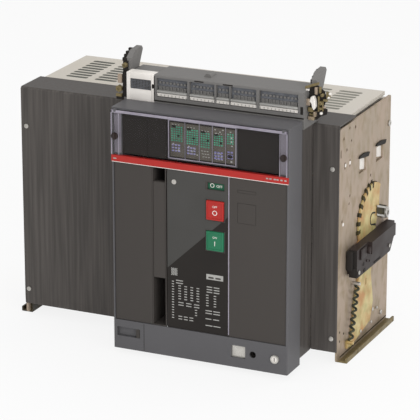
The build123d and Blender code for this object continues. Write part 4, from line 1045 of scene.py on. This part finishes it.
class BREAKER_OT_stage(Step, bpy.types.Operator):
    """Floor, lamps, world and camera"""

    bl_idname = "breaker.stage"
    bl_label = "Stage"

    def execute(self, context):
        begin()
        bpy.ops.mesh.primitive_plane_add(size=30.0, location=(0, 0, -0.0005))
        floor = settle()
        floor.name = "studio_floor"
        floor.data.materials.append(floor_white())
        world = bpy.data.worlds.new("studio")
        context.scene.world = world
        world.use_nodes = True
        tree = world.node_tree
        light = tree.nodes["Background"]
        light.inputs["Color"].default_value = (1, 1, 1, 1)
        light.inputs["Strength"].default_value = WORLD_LIGHT
        seen = add_node(tree, "Background", (0, -200), color=(1, 1, 1, 1), strength=1.0)
        path = add_node(tree, "LightPath", (0, 300))
        mix = add_node(tree, "MixShader", (200, 0))
        connect(tree, (path, "Is Camera Ray", mix, 0), (light, 0, mix, 1), (seen, 0, mix, 2),
                (mix, 0, tree.nodes["World Output"], "Surface"))
        power, target = sizes().lamp_power, Vector((0.0, 0.0, 0.2))
        for name, spot, size, share in (("key_lamp", (0.9, -3.35, 2.2), 2.6, 1.12),
                                        ("side_lamp", (2.6, -2.0, 1.3), 1.6, 1.6),
                                        ("top_lamp", (0.3, 0.6, 3.0), 1.8, 0.9)):
            data = bpy.data.lights.new(name, "AREA")
            data.size = size
            data.energy = power * share
            lamp = bpy.data.objects.new(name, data)
            context.scene.collection.objects.link(lamp)
            lamp.location = spot
            lamp.rotation_euler = (target - Vector(spot)).to_track_quat("-Z", "Y").to_euler()
        camera_data = bpy.data.cameras.new("studio_camera")
        camera_data.lens = 222.84
        camera_data.sensor_width = 36.0
        camera_data.sensor_fit = "HORIZONTAL"
        camera = bpy.data.objects.new("studio_camera", camera_data)
        context.scene.collection.objects.link(camera)
        camera.location = (1.66579, -3.65074, 1.51281)
        turn, tilt = math.radians(24.426), math.radians(18.311)
        view = Vector((-math.sin(turn) * math.cos(tilt), math.cos(turn) * math.cos(tilt), -math.sin(tilt)))
        camera.rotation_euler = view.to_track_quat("-Z", "Y").to_euler()
        context.scene.camera = camera
        context.scene.view_settings.view_transform = "Standard"
        return {"FINISHED"}


def floor_white():
    """White floor that keeps part of the object's shadow."""
    material = bpy.data.materials.new("studio_white")
    material.use_nodes = True
    tree = material.node_tree
    shader = tree.nodes["Principled BSDF"]
    shader.inputs["Base Color"].default_value = (0.86, 0.86, 0.86, 1)
    shader.inputs["Roughness"].default_value = 0.9
    glow = add_node(tree, "Emission", (0, -400), color=(1, 1, 1, 1), strength=1.0)
    path = add_node(tree, "LightPath", (-400, 500))
    either = add_node(tree, "Math", (-200, 500), operation="MAXIMUM")
    share = add_node(tree, "Math", (0, 500), operation="MULTIPLY")
    share.inputs[1].default_value = FLOOR_WHITE
    mix = add_node(tree, "MixShader", (200, 300))
    connect(tree, (path, "Is Camera Ray", either, 0), (path, "Is Glossy Ray", either, 1),
            (either, 0, share, 0),
            (share, 0, mix, 0), (shader, 0, mix, 1), (glow, 0, mix, 2),
            (mix, 0, tree.nodes["Material Output"], "Surface"))
    return material


OPERATORS = (
    BREAKER_OT_finishes,
    BREAKER_OT_nameplate,
    BREAKER_OT_buttons,
    BREAKER_OT_fasteners,
    BREAKER_OT_spring,
    BREAKER_OT_trip_unit,
    BREAKER_OT_front,
    BREAKER_OT_wiring_box,
    BREAKER_OT_right_side,
    BREAKER_OT_tabs,
    BREAKER_OT_stage,
)


class BREAKER_PT_panel(bpy.types.Panel):
    """Lists the steps that dress the breaker"""

    bl_idname = "BREAKER_PT_panel"
    bl_label = "Air Circuit Breaker"
    bl_space_type = "VIEW_3D"
    bl_region_type = "UI"
    bl_category = "Breaker"

    def draw(self, context):
        layout = self.layout
        for name in BreakerColours.__annotations__:
            layout.prop(context.scene.breaker_colours, name)
        for name in BreakerSizes.__annotations__:
            layout.prop(context.scene.breaker_sizes, name)
        for operator in OPERATORS:
            layout.operator(operator.bl_idname)


CLASSES = (BreakerColours, BreakerSizes) + OPERATORS + (BREAKER_PT_panel,)


def register():
    """Add the classes and the scene's settings."""
    for cls in CLASSES:
        bpy.utils.register_class(cls)
    bpy.types.Scene.breaker_colours = bpy.props.PointerProperty(type=BreakerColours)
    bpy.types.Scene.breaker_sizes = bpy.props.PointerProperty(type=BreakerSizes)


def unregister():
    """Remove the settings and the classes."""
    del bpy.types.Scene.breaker_sizes
    del bpy.types.Scene.breaker_colours
    for cls in reversed(CLASSES):
        bpy.utils.unregister_class(cls)


def main():
    """Dress the breaker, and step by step."""
    register()
    for operator in OPERATORS:
        group, name = operator.bl_idname.split(".")
        getattr(getattr(bpy.ops, group), name)()
    begin()


if __name__ == "__main__":
    main()
